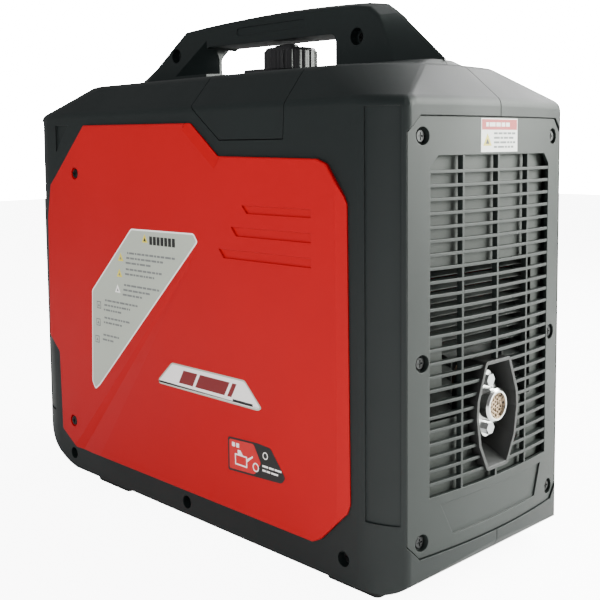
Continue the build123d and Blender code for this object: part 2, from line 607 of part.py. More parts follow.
def handle_half(side):
    """Half of the handle on one side of the middle plane, tapering out to a flat side face."""
    with BuildPart() as half:
        with BuildSketch(Plane.XZ):
            with BuildLine():
                Line((-240, HANDLE_BASE_Z), (-124, 512.5))
                ThreePointArc((-124, 512.5), (5, 518.4), (140, 515))
                Line((140, 515), (162, 511.5))
                Line((162, 511.5), (176, 502))
                Line((176, 502), (229, HANDLE_BASE_Z))
                Line((229, HANDLE_BASE_Z), (-240, HANDLE_BASE_Z))
            make_face()
        with BuildSketch(Plane.XZ.offset(HANDLE_HALF_T)):
            with BuildLine():
                Line((-196, HANDLE_BASE_Z), (-118, 508.5))
                ThreePointArc((-118, 508.5), (5, 513.4), (138, 510.5))
                Line((138, 510.5), (156, 507.5))
                Line((156, 507.5), (167, 499))
                Line((167, 499), (187, HANDLE_BASE_Z))
                Line((187, HANDLE_BASE_Z), (-196, HANDLE_BASE_Z))
            make_face()
        loft(ruled=True)
        top_edges = half.faces().sort_by(Axis.Y)[0].edges().filter_by(lambda e: e.center().Z > HANDLE_BASE_Z + 1)
        fillet(top_edges, radius=4)
        # hand opening
        with BuildSketch(Plane.XZ.offset(-1)) as window:
            add(polygon([(-82, HANDLE_BASE_Z - 1), (-82, 489.5), (114, 487), (114, HANDLE_BASE_Z - 1)], 0))
            fillet(window.vertices().group_by(Axis.Y)[-1] + window.vertices().group_by(Axis.Y)[-2], radius=7)
        extrude(amount=HANDLE_HALF_T + 2, mode=Mode.SUBTRACT)
        # finger scoop behind the opening
        with BuildSketch(Plane.XZ.offset(HANDLE_HALF_T + 0.5)):
            add(polygon([(-80, 497), (-139, HANDLE_BASE_Z + 5), (-80, HANDLE_BASE_Z + 5)], 0))
        with BuildSketch(Plane.XZ.offset(2)):
            add(polygon([(-80, 486), (-86, HANDLE_BASE_Z + 6), (-80, HANDLE_BASE_Z + 6)], 0))
        loft(ruled=True, mode=Mode.SUBTRACT)
        # shallow grip field and screw seats
        with BuildSketch(Plane.XZ.offset(HANDLE_HALF_T)):
            with Locations((22, 501)):
                SlotOverall(104, 8)
        extrude(amount=-1, mode=Mode.SUBTRACT)
        with BuildSketch(Plane.XZ.offset(HANDLE_HALF_T + 1)):
            with Locations(HANDLE_SCREWS):
                Circle(8)
        extrude(amount=-11, mode=Mode.SUBTRACT)
        with BuildSketch(Plane.XZ.offset(HANDLE_HALF_T + 1)):
            with Locations(HANDLE_SCREWS):
                Circle(2.7)
        extrude(amount=-30, mode=Mode.SUBTRACT)
        if side > 0:
            mirror(about=Plane.XZ, mode=Mode.REPLACE)
    return half


save(handle_half(-1), "handle_service_half")
save(handle_half(1), "handle_starter_half")
with BuildPart() as handle_screws:
    add(pan_screws(HANDLE_SCREWS, Plane.XZ.offset(HANDLE_HALF_T - 10), 19))
save(handle_screws, "handle_screws")

# ---- base tray and feet ----
TRAY_FLOOR = 19
with BuildPart() as base_tray:
    with BuildSketch(Plane.XY.offset(TRAY_FLOOR)):
        with Locations((28, 0)):
            RectangleRounded(448, 220, 8)
    extrude(amount=17)
    with BuildSketch(Plane.XY.offset(TRAY_FLOOR + 3)):
        with Locations((28, 0)):
            RectangleRounded(442, 214, 6)
    extrude(amount=20, mode=Mode.SUBTRACT)
save(base_tray, "base_tray")

FOOT_H = TRAY_FLOOR
with BuildPart() as rubber_feet:
    with BuildSketch(Plane.XY.offset(FOOT_H)):
        with Locations([(208, -88), (208, 88), (-158, -90), (-158, 90)]):
            RectangleRounded(70, 40, 10)
    extrude(amount=-FOOT_H, taper=12)
    fillet(rubber_feet.faces().group_by(Axis.Z)[0].edges(), radius=3)
save(rubber_feet, "rubber_feet")

# ---- fuel tank and filler ----
NECK_R, NECK_TOP = 22, 468
with BuildPart() as tank_space:
    with BuildSketch(Plane.XY.offset(335)):
        with Locations((0, 45)):
            RectangleRounded(294, 128, 13)
    extrude(amount=94)
    fillet(tank_space.faces().group_by(Axis.Z)[-1].edges(), radius=12)
with BuildPart() as fuel_tank:
    with BuildSketch(Plane.XY.offset(332)):
        with Locations((0, 45)):
            RectangleRounded(300, 134, 16)
    extrude(amount=100)
    fillet(fuel_tank.faces().group_by(Axis.Z)[-1].edges(), radius=15)
    fillet(fuel_tank.faces().group_by(Axis.Z)[0].edges(), radius=8)
    with BuildSketch(Plane.XY.offset(430)):
        with Locations((CAP_X, 0)):
            Circle(NECK_R)
    extrude(amount=NECK_TOP - 430)
    add(tank_space.part, mode=Mode.SUBTRACT)
    with BuildSketch(Plane.XY.offset(420)):
        with Locations((CAP_X, 0)):
            Circle(NECK_R - 3)
    extrude(amount=60, mode=Mode.SUBTRACT)
save(fuel_tank, "fuel_tank")

with BuildPart() as filler_gasket:
    with BuildSketch(Plane.XY.offset(NECK_TOP + 0.2)):
        with Locations((CAP_X, 0)):
            Circle(NECK_R - 0.5)
            Circle(NECK_R - 5, mode=Mode.SUBTRACT)
    extrude(amount=1.4)
save(filler_gasket, "filler_gasket")

with BuildPart() as filler_collar:
    with BuildSketch(Plane.XY.offset(CROWN_Z)):
        with Locations((CAP_X, 0)):
            Circle(37)
        with Locations((CAP_X - 38, 0)):
            SlotOverall(70, 30)
    extrude(amount=1.6)
    fillet(filler_collar.faces().group_by(Axis.Z)[-1].edges(), radius=0.8)
    with BuildSketch(Plane.XY.offset(CROWN_Z - 10)):
        with Locations((CAP_X, 0)):
            Circle(32.4)
    extrude(amount=11)
    with BuildSketch(Plane.XY.offset(CROWN_Z + 1)):
        with Locations((CAP_X - 50, 0)):
            SlotOverall(40, 20)
    extrude(amount=5.5, taper=20)
    with BuildSketch(Plane.XY.offset(CROWN_Z - 12)):
        with Locations((CAP_X, 0)):
            Circle(NECK_R + 0.6)
    extrude(amount=30, mode=Mode.SUBTRACT)
save(filler_collar, "filler_collar")

CAP_LOW, CAP_HIGH, CAP_R = 459, 480.5, 27.5
with BuildPart() as fuel_cap:
    with BuildSketch(Plane.XY.offset(CAP_LOW)):
        with Locations((CAP_X, 0)):
            Circle(CAP_R)
        with Locations((CAP_X, 0)):
            with PolarLocations(CAP_R + 1.6, 20):
                Circle(3.1, mode=Mode.SUBTRACT)
    extrude(amount=CAP_HIGH - CAP_LOW - 3)
    with BuildSketch(Plane.XY.offset(CAP_HIGH - 3)):
        with Locations((CAP_X, 0)):
            Circle(CAP_R - 1)
    extrude(amount=3, taper=25)
    with BuildSketch(Plane.XY.offset(CAP_LOW - 1)):
        with Locations((CAP_X, 0)):
            Circle(NECK_R + 0.8)
    extrude(amount=NECK_TOP + 2 - CAP_LOW + 1, mode=Mode.SUBTRACT)
save(fuel_cap, "fuel_cap")

with BuildPart() as vent_lever:
    with BuildSketch(Plane.XY.offset(CAP_HIGH + 0.3)):
        with Locations((CAP_X, 0)):
            Circle(8)
        with Locations((CAP_X - 7, 0)):
            SlotOverall(30, 7)
    extrude(amount=4.2)
    fillet(vent_lever.faces().group_by(Axis.Z)[-1].edges(), radius=1)
save(vent_lever, "vent_lever")

# ---- engine ----
CASE_X, CASE_L = 40, 100
BORE_R, SHAFT_R = 28, 12


def crank_plane(x):
    """A plane square to the crankshaft at x, centred on its axis."""
    return Plane(origin=(x, 0, CRANK_Z), x_dir=(0, 1, 0), z_dir=(1, 0, 0))


CYL = Plane(origin=(CYL_X, 0, CRANK_Z), x_dir=(1, 0, 0),
            z_dir=(0, -sin(radians(CYL_TILT)), cos(radians(CYL_TILT))))

with BuildPart() as crankcase:
    with BuildSketch(Plane.YZ.offset(CASE_X)):
        with Locations((0, 134)):
            RectangleRounded(124, 144, 24)
    extrude(amount=CASE_L)
    with BuildSketch(Plane.XY.offset(56)):
        with Locations([(42, 0), (138, 0)]):
            RectangleRounded(28, 176, 8)
    extrude(amount=8)
    # chamber for the crank webs, then the bore that carries the shaft
    for start, length, radius in ((54, 72, 50), (CASE_X - 20, CASE_L + 40, SHAFT_R + 0.05)):
        with BuildSketch(crank_plane(start)):
            Circle(radius)
        extrude(amount=length, mode=Mode.SUBTRACT)
    with BuildSketch(CYL.offset(40)):
        Circle(36.2)
    extrude(amount=60, mode=Mode.SUBTRACT)
    with BuildSketch(Plane.XZ.offset(80)):
        with Locations((110, 100)):
            Circle(9.05)
    extrude(amount=-52, mode=Mode.SUBTRACT)
save(crankcase, "crankcase")

with BuildPart() as crankshaft:
    with BuildSketch(crank_plane(-34)):
        Circle(SHAFT_R)
    extrude(amount=96)
    with BuildSketch(crank_plane(122)):
        Circle(SHAFT_R)
    extrude(amount=16)
    for start in (62, 106):
        with BuildSketch(Plane.YZ.offset(start)) as web:
            with Locations((0, CRANK_Z + 20)):
                Circle(18)
            with Locations((0, CRANK_Z - 8)):
                Circle(34)
            make_hull()
        extrude(amount=16)
    with BuildSketch(Plane.YZ.offset(76)):
        with Locations((0, CRANK_Z + 20)):
            Circle(13)
    extrude(amount=32)
save(crankshaft, "crankshaft")

with BuildPart() as cylinder:
    with BuildSketch(CYL.offset(56)):
        Circle(36)
    extrude(amount=79)
    for rise in [82 + 7 * row for row in range(7)]:
        with BuildSketch(CYL.offset(rise)):
            RectangleRounded(92, 88, 14)
        extrude(amount=2.6)
    with BuildSketch(CYL.offset(54)):
        Circle(BORE_R)
    extrude(amount=90, mode=Mode.SUBTRACT)
save(cylinder, "cylinder")

with BuildPart() as piston:
    with BuildSketch(CYL.offset(96)):
        Circle(BORE_R - 0.05)
    extrude(amount=34)
    for rise in (118, 122, 126):
        with BuildSketch(CYL.offset(rise)):
            Circle(BORE_R + 1)
            Circle(BORE_R - 2.5, mode=Mode.SUBTRACT)
        extrude(amount=1.2, mode=Mode.SUBTRACT)
    with BuildSketch(CYL.offset(95)):
        Circle(BORE_R - 5)
    extrude(amount=22, mode=Mode.SUBTRACT)
    with BuildSketch(Plane(origin=CYL.from_local_coords((-30, 0, 106)), x_dir=(0, 1, 0), z_dir=(1, 0, 0))):
        Circle(7.05)
    extrude(amount=60, mode=Mode.SUBTRACT)
save(piston, "piston")

PLUG = Plane(origin=CYL.from_local_coords((-26, -37, 165)), x_dir=(1, 0, 0), z_dir=(0, -0.12, 1))
with BuildPart() as cylinder_head:
    with BuildSketch(CYL.offset(135)):
        RectangleRounded(92, 88, 12)
    extrude(amount=30)
    for rise in (141, 148, 155):
        with BuildSketch(CYL.offset(rise)):
            RectangleRounded(94, 90, 12)
            RectangleRounded(80, 76, 8, mode=Mode.SUBTRACT)
        extrude(amount=4, mode=Mode.SUBTRACT)
save(cylinder_head, "cylinder_head")

with BuildPart() as rocker_cover:
    with BuildSketch(CYL.offset(165)):
        with Locations((6, 6)):
            RectangleRounded(76, 60, 14)
    extrude(amount=26)
    fillet(rocker_cover.faces().filter_by(lambda f: f.normal_at().dot(CYL.z_dir) > 0.99).edges(), radius=7)
save(rocker_cover, "rocker_cover")

with BuildPart() as spark_plug:
    with BuildSketch(PLUG.offset(2.5)):
        RegularPolygon(9, 6)
    extrude(amount=10)
    with BuildSketch(PLUG.offset(12)):
        Circle(5.5)
    extrude(amount=24)
    with BuildSketch(PLUG.offset(36)):
        Circle(3)
    extrude(amount=8)
save(spark_plug, "spark_plug")

with BuildPart() as spark_plug_cap:
    with BuildSketch(PLUG.offset(22)):
        Circle(9)
    extrude(amount=40)
    fillet(spark_plug_cap.faces().filter_by(lambda f: f.normal_at().dot(PLUG.z_dir) > 0.99).edges(), radius=3)
    with BuildSketch(PLUG.offset(21)):
        Circle(5.7)
    extrude(amount=26, mode=Mode.SUBTRACT)
save(spark_plug_cap, "spark_plug_cap")

with BuildPart() as oil_dipstick:
    with BuildSketch(Plane.XZ.offset(62.4)):
        with Locations((110, 100)):
            RegularPolygon(15, 8)
    extrude(amount=9)
    with BuildSketch(Plane.XZ.offset(48)):
        with Locations((110, 100)):
            Circle(9)
    extrude(amount=14.5)
    with BuildSketch(Plane.XZ.offset(32)):
        with Locations((110, 100)):
            Circle(3)
    extrude(amount=17)
save(oil_dipstick, "oil_dipstick")

with BuildPart() as engine_mounts:
    with BuildSketch(Plane.XY.offset(TRAY_FLOOR + 3)):
        with Locations([(x, y) for x in (42, 138) for y in (-72, 72)]):
            Circle(14)
    extrude(amount=34)
    with BuildSketch(Plane.XY.offset(TRAY_FLOOR + 14)):
        with Locations([(x, y) for x in (42, 138) for y in (-72, 72)]):
            Circle(15)
            Circle(11, mode=Mode.SUBTRACT)
    extrude(amount=10, mode=Mode.SUBTRACT)
save(engine_mounts, "engine_mounts")

with BuildPart() as exhaust_header:
    with BuildLine() as header_path:
        FilletPolyline((138, HEADER_Y, 281), (200, HEADER_Y, 281), (200, HEADER_Y, 230), radius=24)
    with BuildSketch(Plane(origin=(138, HEADER_Y, 281), z_dir=(1, 0, 0))):
        Circle(11)
        Circle(9, mode=Mode.SUBTRACT)
    sweep()
save(exhaust_header, "exhaust_header")

with BuildPart() as carburettor:
    with BuildSketch(Plane.YZ.offset(6)):
        with Locations((-51, 281)):
            RectangleRounded(38, 36, 6)
    extrude(amount=34)
    with BuildSketch(Plane.XY.offset(250)):
        with Locations((23, -51)):
            Circle(15)
    extrude(amount=16)
    with BuildSketch(Plane.YZ.offset(0)):
        with Locations((-51, 283)):
            Circle(9)
    extrude(amount=46, mode=Mode.SUBTRACT)
    with BuildSketch(Plane.YZ.offset(40)):
        with Locations((-51, 283)):
            RectangleRounded(40, 30, 5)
            Circle(9, mode=Mode.SUBTRACT)
    extrude(amount=5.8)
save(carburettor, "carburettor")

with BuildPart() as air_filter_box:
    with BuildSketch(Plane.XZ.offset(34)):
        with Locations((-62, 283)):
            RectangleRounded(130, 70, 10)
    extrude(amount=78)
    with BuildSketch(Plane.XZ.offset(37)):
        with Locations((-62, 283)):
            RectangleRounded(124, 64, 8)
    extrude(amount=80, mode=Mode.SUBTRACT)
    with BuildSketch(Plane.YZ.offset(-5)):
        with Locations((-51, 283)):
            Circle(9)
    extrude(amount=10, mode=Mode.SUBTRACT)
save(air_filter_box, "air_filter_box")

with BuildPart() as air_filter_lid:
    with BuildSketch(Plane.XZ.offset(112)):
        with Locations((-62, 283)):
            RectangleRounded(132, 72, 11)
    extrude(amount=5)
    with BuildSketch(Plane.XZ.offset(108)):
        with Locations((-62, 283)):
            RectangleRounded(123, 63, 7)
            RectangleRounded(117, 57, 5, mode=Mode.SUBTRACT)
    extrude(amount=4)
save(air_filter_lid, "air_filter_lid")

# ---- alternator, fan and recoil starter, all on the crankshaft axis ----
with BuildPart() as flywheel_rotor:
    with BuildSketch(crank_plane(-30)):
        Circle(78)
        Circle(SHAFT_R, mode=Mode.SUBTRACT)
    extrude(amount=54)
    with BuildSketch(crank_plane(-22)):
        Circle(66)
        Circle(20, mode=Mode.SUBTRACT)
    extrude(amount=50, mode=Mode.SUBTRACT)
    with BuildSketch(crank_plane(-8)):
        Circle(22)
        Circle(SHAFT_R, mode=Mode.SUBTRACT)
    extrude(amount=40, mode=Mode.SUBTRACT)
save(flywheel_rotor, "flywheel_rotor")

with BuildPart() as stator:
    with BuildSketch(crank_plane(-6)):
        Circle(38)
        Circle(26, mode=Mode.SUBTRACT)
        with PolarLocations(46, 12):
            Rectangle(22, 8)
        with PolarLocations(60, 12):
            Rectangle(6, 22)
    extrude(amount=26)
    with BuildSketch(crank_plane(14)):
        Circle(29)
        Circle(24, mode=Mode.SUBTRACT)
    extrude(amount=CASE_X - 14)
save(stator, "stator")

with BuildPart() as cooling_fan:
    with BuildSketch(crank_plane(-35)):
        Circle(84)
        Circle(SHAFT_R, mode=Mode.SUBTRACT)
    extrude(amount=4)
    with BuildSketch(crank_plane(-50)):
        with PolarLocations(67, 24):
            Rectangle(32, 2, rotation=28)
    extrude(amount=16)
    with BuildSketch(crank_plane(-56)):
        Circle(36)
        Circle(32, mode=Mode.SUBTRACT)
    extrude(amount=22)
save(cooling_fan, "cooling_fan")

with BuildPart() as recoil_housing:
    with BuildSketch(crank_plane(-98)):
        Circle(95)
    extrude(amount=122)
    with BuildSketch(crank_plane(-95)):
        Circle(92)
        Circle(8, mode=Mode.SUBTRACT)
    extrude(amount=120, mode=Mode.SUBTRACT)
    with BuildSketch(crank_plane(-99)):
        with PolarLocations(66, 12):
            SlotOverall(34, 16)
    extrude(amount=5, mode=Mode.SUBTRACT)
    with BuildSketch(Plane.XZ.offset(-70)):
        with Locations((GRIP_X, GRIP_Z)):
            Circle(4.5)
    extrude(amount=-30, mode=Mode.SUBTRACT)
    with BuildSketch(crank_plane(-60)):
        Circle(9)
    extrude(amount=90, mode=Mode.SUBTRACT)
save(recoil_housing, "recoil_housing")

REEL_R, REEL_RIM = 37, 48
with BuildPart() as recoil_reel:
    with BuildSketch(crank_plane(-90)):
        Circle(REEL_RIM)
    extrude(amount=26)
    with BuildSketch(crank_plane(GRIP_X - 4)):
        Circle(REEL_RIM + 1)
        Circle(REEL_R, mode=Mode.SUBTRACT)
    extrude(amount=8, mode=Mode.SUBTRACT)
    with BuildSketch(crank_plane(-91)):
        Circle(8.05)
    extrude(amount=30, mode=Mode.SUBTRACT)
save(recoil_reel, "recoil_reel")

with BuildPart() as starter_rope:
    with BuildSketch(Plane.XZ.offset(-2)):
        with Locations((GRIP_X, GRIP_Z)):
            Circle(2.4)
    extrude(amount=-104.6)
save(starter_rope, "starter_rope")

with BuildPart() as recoil_handle:
    with BuildSketch(Plane.XZ.offset(-112.5)):
        with Locations((GRIP_X, GRIP_Z)):
            SlotOverall(88, 22)
    extrude(amount=-17.5)
    fillet(recoil_handle.faces().group_by(Axis.Y)[-1].edges(), radius=6)
    fillet(recoil_handle.faces().group_by(Axis.Y)[0].edges(), radius=4)
    with BuildSketch(Plane.XZ.offset(-106.6)):
        with Locations((GRIP_X, GRIP_Z)):
            Circle(5.4)
    extrude(amount=-8)
save(recoil_handle, "recoil_handle")

with BuildPart() as inverter_module:
    with BuildSketch(Plane.XY.offset(TRAY_FLOOR + 3)):
        with Locations((-150, 0)):
            RectangleRounded(84, 150, 4)
    extrude(amount=34)
    with BuildSketch(Plane.XY.offset(TRAY_FLOOR + 37)):
        with Locations([(-150, -70 + 10 * fin) for fin in range(15)]):
            Rectangle(84, 2.4)
    extrude(amount=26)
save(inverter_module, "inverter_module")

# ---- control panel: plate, bezel, meter, switches and lidded sockets ----
PANEL_BACK = -17
PANEL_FRONT = -14
KNOB_UV = (62, 62)
ECO_UV = (26, 50)
START_UV = (-8, 50)
BREAKER_UV = (-8, -66)
SOCKETS = [(-50, -2, 54, 54), (16, -2, 54, 54), (-58, -66, 44, 28)]
HINGE_W = -11.3
PIVOT_R = 1.3


def on_panel(u, v, w):
    """A plane on the leaning panel end: u across, v up, w out of the machine."""
    return Plane(origin=PANEL.from_local_coords((u, v, w)), x_dir=PANEL.x_dir, z_dir=PANEL.z_dir)


def across_panel(u, v, w):
    """A plane square to the panel's width, for hinge pins and rockers."""
    return Plane(origin=PANEL.from_local_coords((u, v, w)), x_dir=PANEL.y_dir, z_dir=PANEL.x_dir)


with BuildPart() as control_panel:
    with BuildSketch(on_panel(0, 0, PANEL_BACK)):
        RectangleRounded(PANEL_W + 6, PANEL_H + 6, 12)
    extrude(amount=PANEL_FRONT - PANEL_BACK)
    with BuildSketch(on_panel(0, 0, PANEL_BACK - 1)):
        with Locations(KNOB_UV):
            Circle(4.05)
        with Locations(START_UV):
            Circle(9.4)
        with Locations(BREAKER_UV):
            Circle(6.4)
        with Locations(ECO_UV):
            Rectangle(14.8, 23.4)
        for u, v, width, height in SOCKETS:
            with Locations((u, v)):
                Rectangle(width + 0.4, height + 0.4)
    extrude(amount=6, mode=Mode.SUBTRACT)
    with BuildSketch(across_panel(ECO_UV[0] - 10, ECO_UV[1], -15.5)):
        Circle(1.05)
    extrude(amount=20, mode=Mode.SUBTRACT)
save(control_panel, "control_panel")

with BuildPart() as panel_bezel:
    with BuildSketch(on_panel(0, 0, PANEL_FRONT)):
        RectangleRounded(PANEL_W - 1, PANEL_H - 1, 9.5)
        RectangleRounded(PANEL_W - 10, PANEL_H - 10, 6, mode=Mode.SUBTRACT)
    extrude(amount=13.5)
save(panel_bezel, "panel_bezel")

with BuildPart() as meter_display:
    with BuildSketch(on_panel(0, 0, PANEL_FRONT)):
        with Locations((-58, 66)):
            RectangleRounded(62, 34, 4)
    extrude(amount=3)
    with BuildSketch(on_panel(0, 0, -11.8)):
        with Locations((-58, 66)):
            RectangleRounded(54, 26, 2)
    extrude(amount=2, mode=Mode.SUBTRACT)
save(meter_display, "meter_display")

with BuildPart() as engine_knob:
    with BuildSketch(on_panel(0, 0, -13.6)):
        with Locations(KNOB_UV):
            Circle(24)
    extrude(amount=4.6)
    chamfer(engine_knob.faces().filter_by(lambda f: f.normal_at().dot(PANEL.z_dir) > 0.99).edges(), length=1.2)
    with BuildSketch(on_panel(0, 0, -9.4)):
        with Locations(KNOB_UV):
            SlotOverall(44, 12, rotation=90)
    extrude(amount=6.6)
    with BuildSketch(on_panel(0, 0, -26)):
        with Locations(KNOB_UV):
            Circle(4)
    extrude(amount=13)
save(engine_knob, "engine_knob")

# the rocker stays inside an 11 mm circle round its pivot, so it clears its window as it tips
with BuildPart() as eco_switch:
    with BuildSketch(across_panel(ECO_UV[0] - 7, ECO_UV[1], -15.5)):
        with BuildLine():
            Polyline((-10.2, 3.8), (0, 1.8), (9.2, 6), (10.6, -1), (6, -4), (-6, -4), (-10.6, -1), close=True)
        make_face()
    extrude(amount=14)
    with BuildSketch(across_panel(ECO_UV[0] - 9, ECO_UV[1], -15.5)):
        Circle(1)
    extrude(amount=18)
save(eco_switch, "eco_switch")


def push_button(place, radius, front):
    """Round button with a retaining flange behind the panel."""
    with BuildPart() as button:
        with BuildSketch(on_panel(0, 0, PANEL_BACK - 2.3)):
            with Locations(place):
                Circle(radius + 2)
        extrude(amount=2)
        with BuildSketch(on_panel(0, 0, PANEL_BACK - 1)):
            with Locations(place):
                Circle(radius)
        extrude(amount=front - PANEL_BACK + 1)
        front_face = button.faces().sort_by(Axis(PANEL.origin, PANEL.z_dir))[-1]
        chamfer(front_face.edges(), length=0.8)
    return button.part


with BuildPart() as start_button:
    add(push_button(START_UV, 9, -10.5))
save(start_button, "start_button")

with BuildPart() as breaker_button:
    add(push_button(BREAKER_UV, 6, -10.5))
save(breaker_button, "breaker_button")

# socket blocks with shallow faces; ears at the top carry the lid pins
with BuildPart() as panel_sockets:
    for u, v, width, height in SOCKETS:
        with BuildSketch(on_panel(u, v, -26)):
            Rectangle(width, height)
        extrude(amount=13)
        for side in (-1, 1):
            with BuildSketch(on_panel(u + side * (width / 2 - 1.5), v + height / 2 - 2.5, -13)):
                Rectangle(3, 5)
            extrude(amount=3.6)
        with BuildSketch(across_panel(u - width / 2 - 1, v + height / 2 - 2.5, HINGE_W)):
            Circle(PIVOT_R + 0.05)
        extrude(amount=width + 2, mode=Mode.SUBTRACT)
    for u, v, width, height in SOCKETS[:2]:
        with BuildSketch(on_panel(u, v, -15.5)):
            Circle(20)
        extrude(amount=5, mode=Mode.SUBTRACT)
        with BuildSketch(on_panel(u, v, -24)):
            with Locations((-6.4, 3), (6.4, 3)):
                Rectangle(2, 8)
            with Locations((0, -7)):
                Circle(1.9)
        extrude(amount=12, mode=Mode.SUBTRACT)
    with BuildSketch(on_panel(-58, -66, -22)):
        with Locations((-9, -1), (9, -1)):
            Rectangle(2, 7)
    extrude(amount=10, mode=Mode.SUBTRACT)
save(panel_sockets, "panel_sockets")


def hinged_lid(u, v, width, height):
    """Flap over a socket block, pinned between the ears at its top edge."""
    with BuildPart() as lid:
        with BuildSketch(on_panel(u, v - 1.25, HINGE_W - PIVOT_R)):
            Rectangle(width - 7, height - 2.5)
            with Locations((0, -height / 2)):
                RectangleRounded(18, 6, 2)
        extrude(amount=2 * PIVOT_R)
        with BuildSketch(across_panel(u - width / 2 + 1, v + height / 2 - 2.5, HINGE_W)):
            Circle(PIVOT_R)
        extrude(amount=width - 2)
    return lid.part


with BuildPart() as socket_lid_left:
    add(hinged_lid(*SOCKETS[0]))
save(socket_lid_left, "socket_lid_left")

with BuildPart() as socket_lid_right:
    add(hinged_lid(*SOCKETS[1]))
save(socket_lid_right, "socket_lid_right")

with BuildPart() as dc_cover:
    add(hinged_lid(*SOCKETS[2]))
save(dc_cover, "dc_cover")
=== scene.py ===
import math
import bpy
import numpy as np
from mathutils import Matrix, Vector


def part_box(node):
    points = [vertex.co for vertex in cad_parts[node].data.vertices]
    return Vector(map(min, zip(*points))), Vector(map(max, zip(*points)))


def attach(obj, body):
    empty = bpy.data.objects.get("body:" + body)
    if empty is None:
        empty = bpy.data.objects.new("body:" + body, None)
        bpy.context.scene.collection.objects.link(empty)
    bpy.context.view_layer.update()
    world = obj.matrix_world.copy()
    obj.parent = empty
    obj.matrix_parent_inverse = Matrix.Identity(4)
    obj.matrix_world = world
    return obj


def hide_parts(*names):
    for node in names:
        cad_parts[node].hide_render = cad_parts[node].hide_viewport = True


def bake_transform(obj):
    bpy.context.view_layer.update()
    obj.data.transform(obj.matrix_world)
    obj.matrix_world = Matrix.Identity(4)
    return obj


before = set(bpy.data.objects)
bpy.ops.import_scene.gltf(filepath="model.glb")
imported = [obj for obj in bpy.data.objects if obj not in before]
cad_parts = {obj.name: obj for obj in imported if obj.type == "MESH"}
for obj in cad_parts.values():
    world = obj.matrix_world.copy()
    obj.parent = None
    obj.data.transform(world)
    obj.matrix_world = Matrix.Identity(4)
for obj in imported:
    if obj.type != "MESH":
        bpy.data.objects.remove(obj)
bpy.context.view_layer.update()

# Camera: a long studio lens a little above the shoulders, off the corner between the
# service side and the exhaust end. The shift frames the machine low under a level eye.
camera_data = bpy.data.cameras.new("studio_camera")
camera_data.lens = 58.2
camera_data.sensor_width = 36.0
camera_data.shift_y = -0.10
camera_data.clip_end = 50.0
camera = bpy.data.objects.new("studio_camera", camera_data)
bpy.context.scene.collection.objects.link(camera)
bpy.context.scene.camera = camera
camera_yaw, camera_pitch, camera_roll = math.radians(45.97), math.radians(5.5), math.radians(-0.56)
looking = Vector((-math.sin(camera_yaw) * math.cos(camera_pitch),
                  math.cos(camera_yaw) * math.cos(camera_pitch), -math.sin(camera_pitch)))
camera.matrix_world = (Matrix.Translation((0.759, -0.694, 0.381))
                       @ looking.to_track_quat("-Z", "Y").to_matrix().to_4x4()
                       @ Matrix.Rotation(camera_roll, 4, "Z"))

# Studio: a white surround that shows bright but lights the machine gently, one large soft light
# high over the exhaust end, a weaker diffused one on the service side, and one above.
# The floor is a wide pale sheet.
surround = bpy.data.worlds.new("white_surround")
surround.use_nodes = True
sky_nodes, sky_links = surround.node_tree.nodes, surround.node_tree.links
soft_white = sky_nodes["Background"]
soft_white.inputs["Color"].default_value = (1.0, 1.0, 1.0, 1.0)
soft_white.inputs["Strength"].default_value = 0.24
shown_white = sky_nodes.new("ShaderNodeBackground")
shown_white.inputs["Color"].default_value = (1.0, 1.0, 1.0, 1.0)
shown_white.inputs["Strength"].default_value = 30.0
seen = sky_nodes.new("ShaderNodeLightPath")
either = sky_nodes.new("ShaderNodeMixShader")
sky_links.new(seen.outputs["Is Camera Ray"], either.inputs["Fac"])
sky_links.new(soft_white.outputs["Background"], either.inputs[1])
sky_links.new(shown_white.outputs["Background"], either.inputs[2])
sky_links.new(either.outputs["Shader"], sky_nodes["World Output"].inputs["Surface"])
bpy.context.scene.world = surround
for light_name, place, watts, size in (("exhaust_end_light", (1.42, 1.35, 1.05), 145.0, 1.4),
                                       ("service_side_light", (0.5, -2.1, 0.7), 48.0, 1.0),
                                       ("overhead_light", (0.15, 1.5, 1.5), 40.0, 1.2)):
    light_data = bpy.data.lights.new(light_name, "AREA")
    light_data.energy = watts
    light_data.color = (0.95, 1.0, 0.94) if light_name == "exhaust_end_light" else (1.0, 1.0, 1.0)
    light_data.size = size
    light = bpy.data.objects.new(light_name, light_data)
    light.visible_glossy = light_name != "service_side_light"
    bpy.context.scene.collection.objects.link(light)
    aim = Vector((0.0, 0.0, 0.22)) - Vector(place)
    light.matrix_world = Matrix.Translation(place) @ aim.to_track_quat("-Z", "Y").to_matrix().to_4x4()

floor_half = 6.0
floor_mesh = bpy.data.meshes.new("studio_floor")
floor_mesh.from_pydata([(-floor_half, -floor_half, 0), (floor_half, -floor_half, 0),
                        (floor_half, floor_half, 0), (-floor_half, floor_half, 0)], [], [(0, 1, 2, 3)])
floor = bpy.data.objects.new("studio_floor", floor_mesh)
bpy.context.scene.collection.objects.link(floor)
pale_sheet = bpy.data.materials.new("pale_sheet")
pale_sheet.use_nodes = True
sheet_nodes, sheet_links = pale_sheet.node_tree.nodes, pale_sheet.node_tree.links
sheet = sheet_nodes["Principled BSDF"]
sheet.inputs["Base Color"].default_value = (0.90, 0.90, 0.90, 1)
sheet.inputs["Roughness"].default_value = 0.6
sheet.inputs["Emission Color"].default_value = (1, 1, 1, 1)
seen = sheet_nodes.new("ShaderNodeLightPath")
lift = sheet_nodes.new("ShaderNodeMath")
lift.operation = "MULTIPLY"
lift.inputs[1].default_value = 9.0
sheet_links.new(seen.outputs["Is Camera Ray"], lift.inputs[0])
sheet_links.new(lift.outputs["Value"], sheet.inputs["Emission Strength"])
floor_mesh.materials.append(pale_sheet)


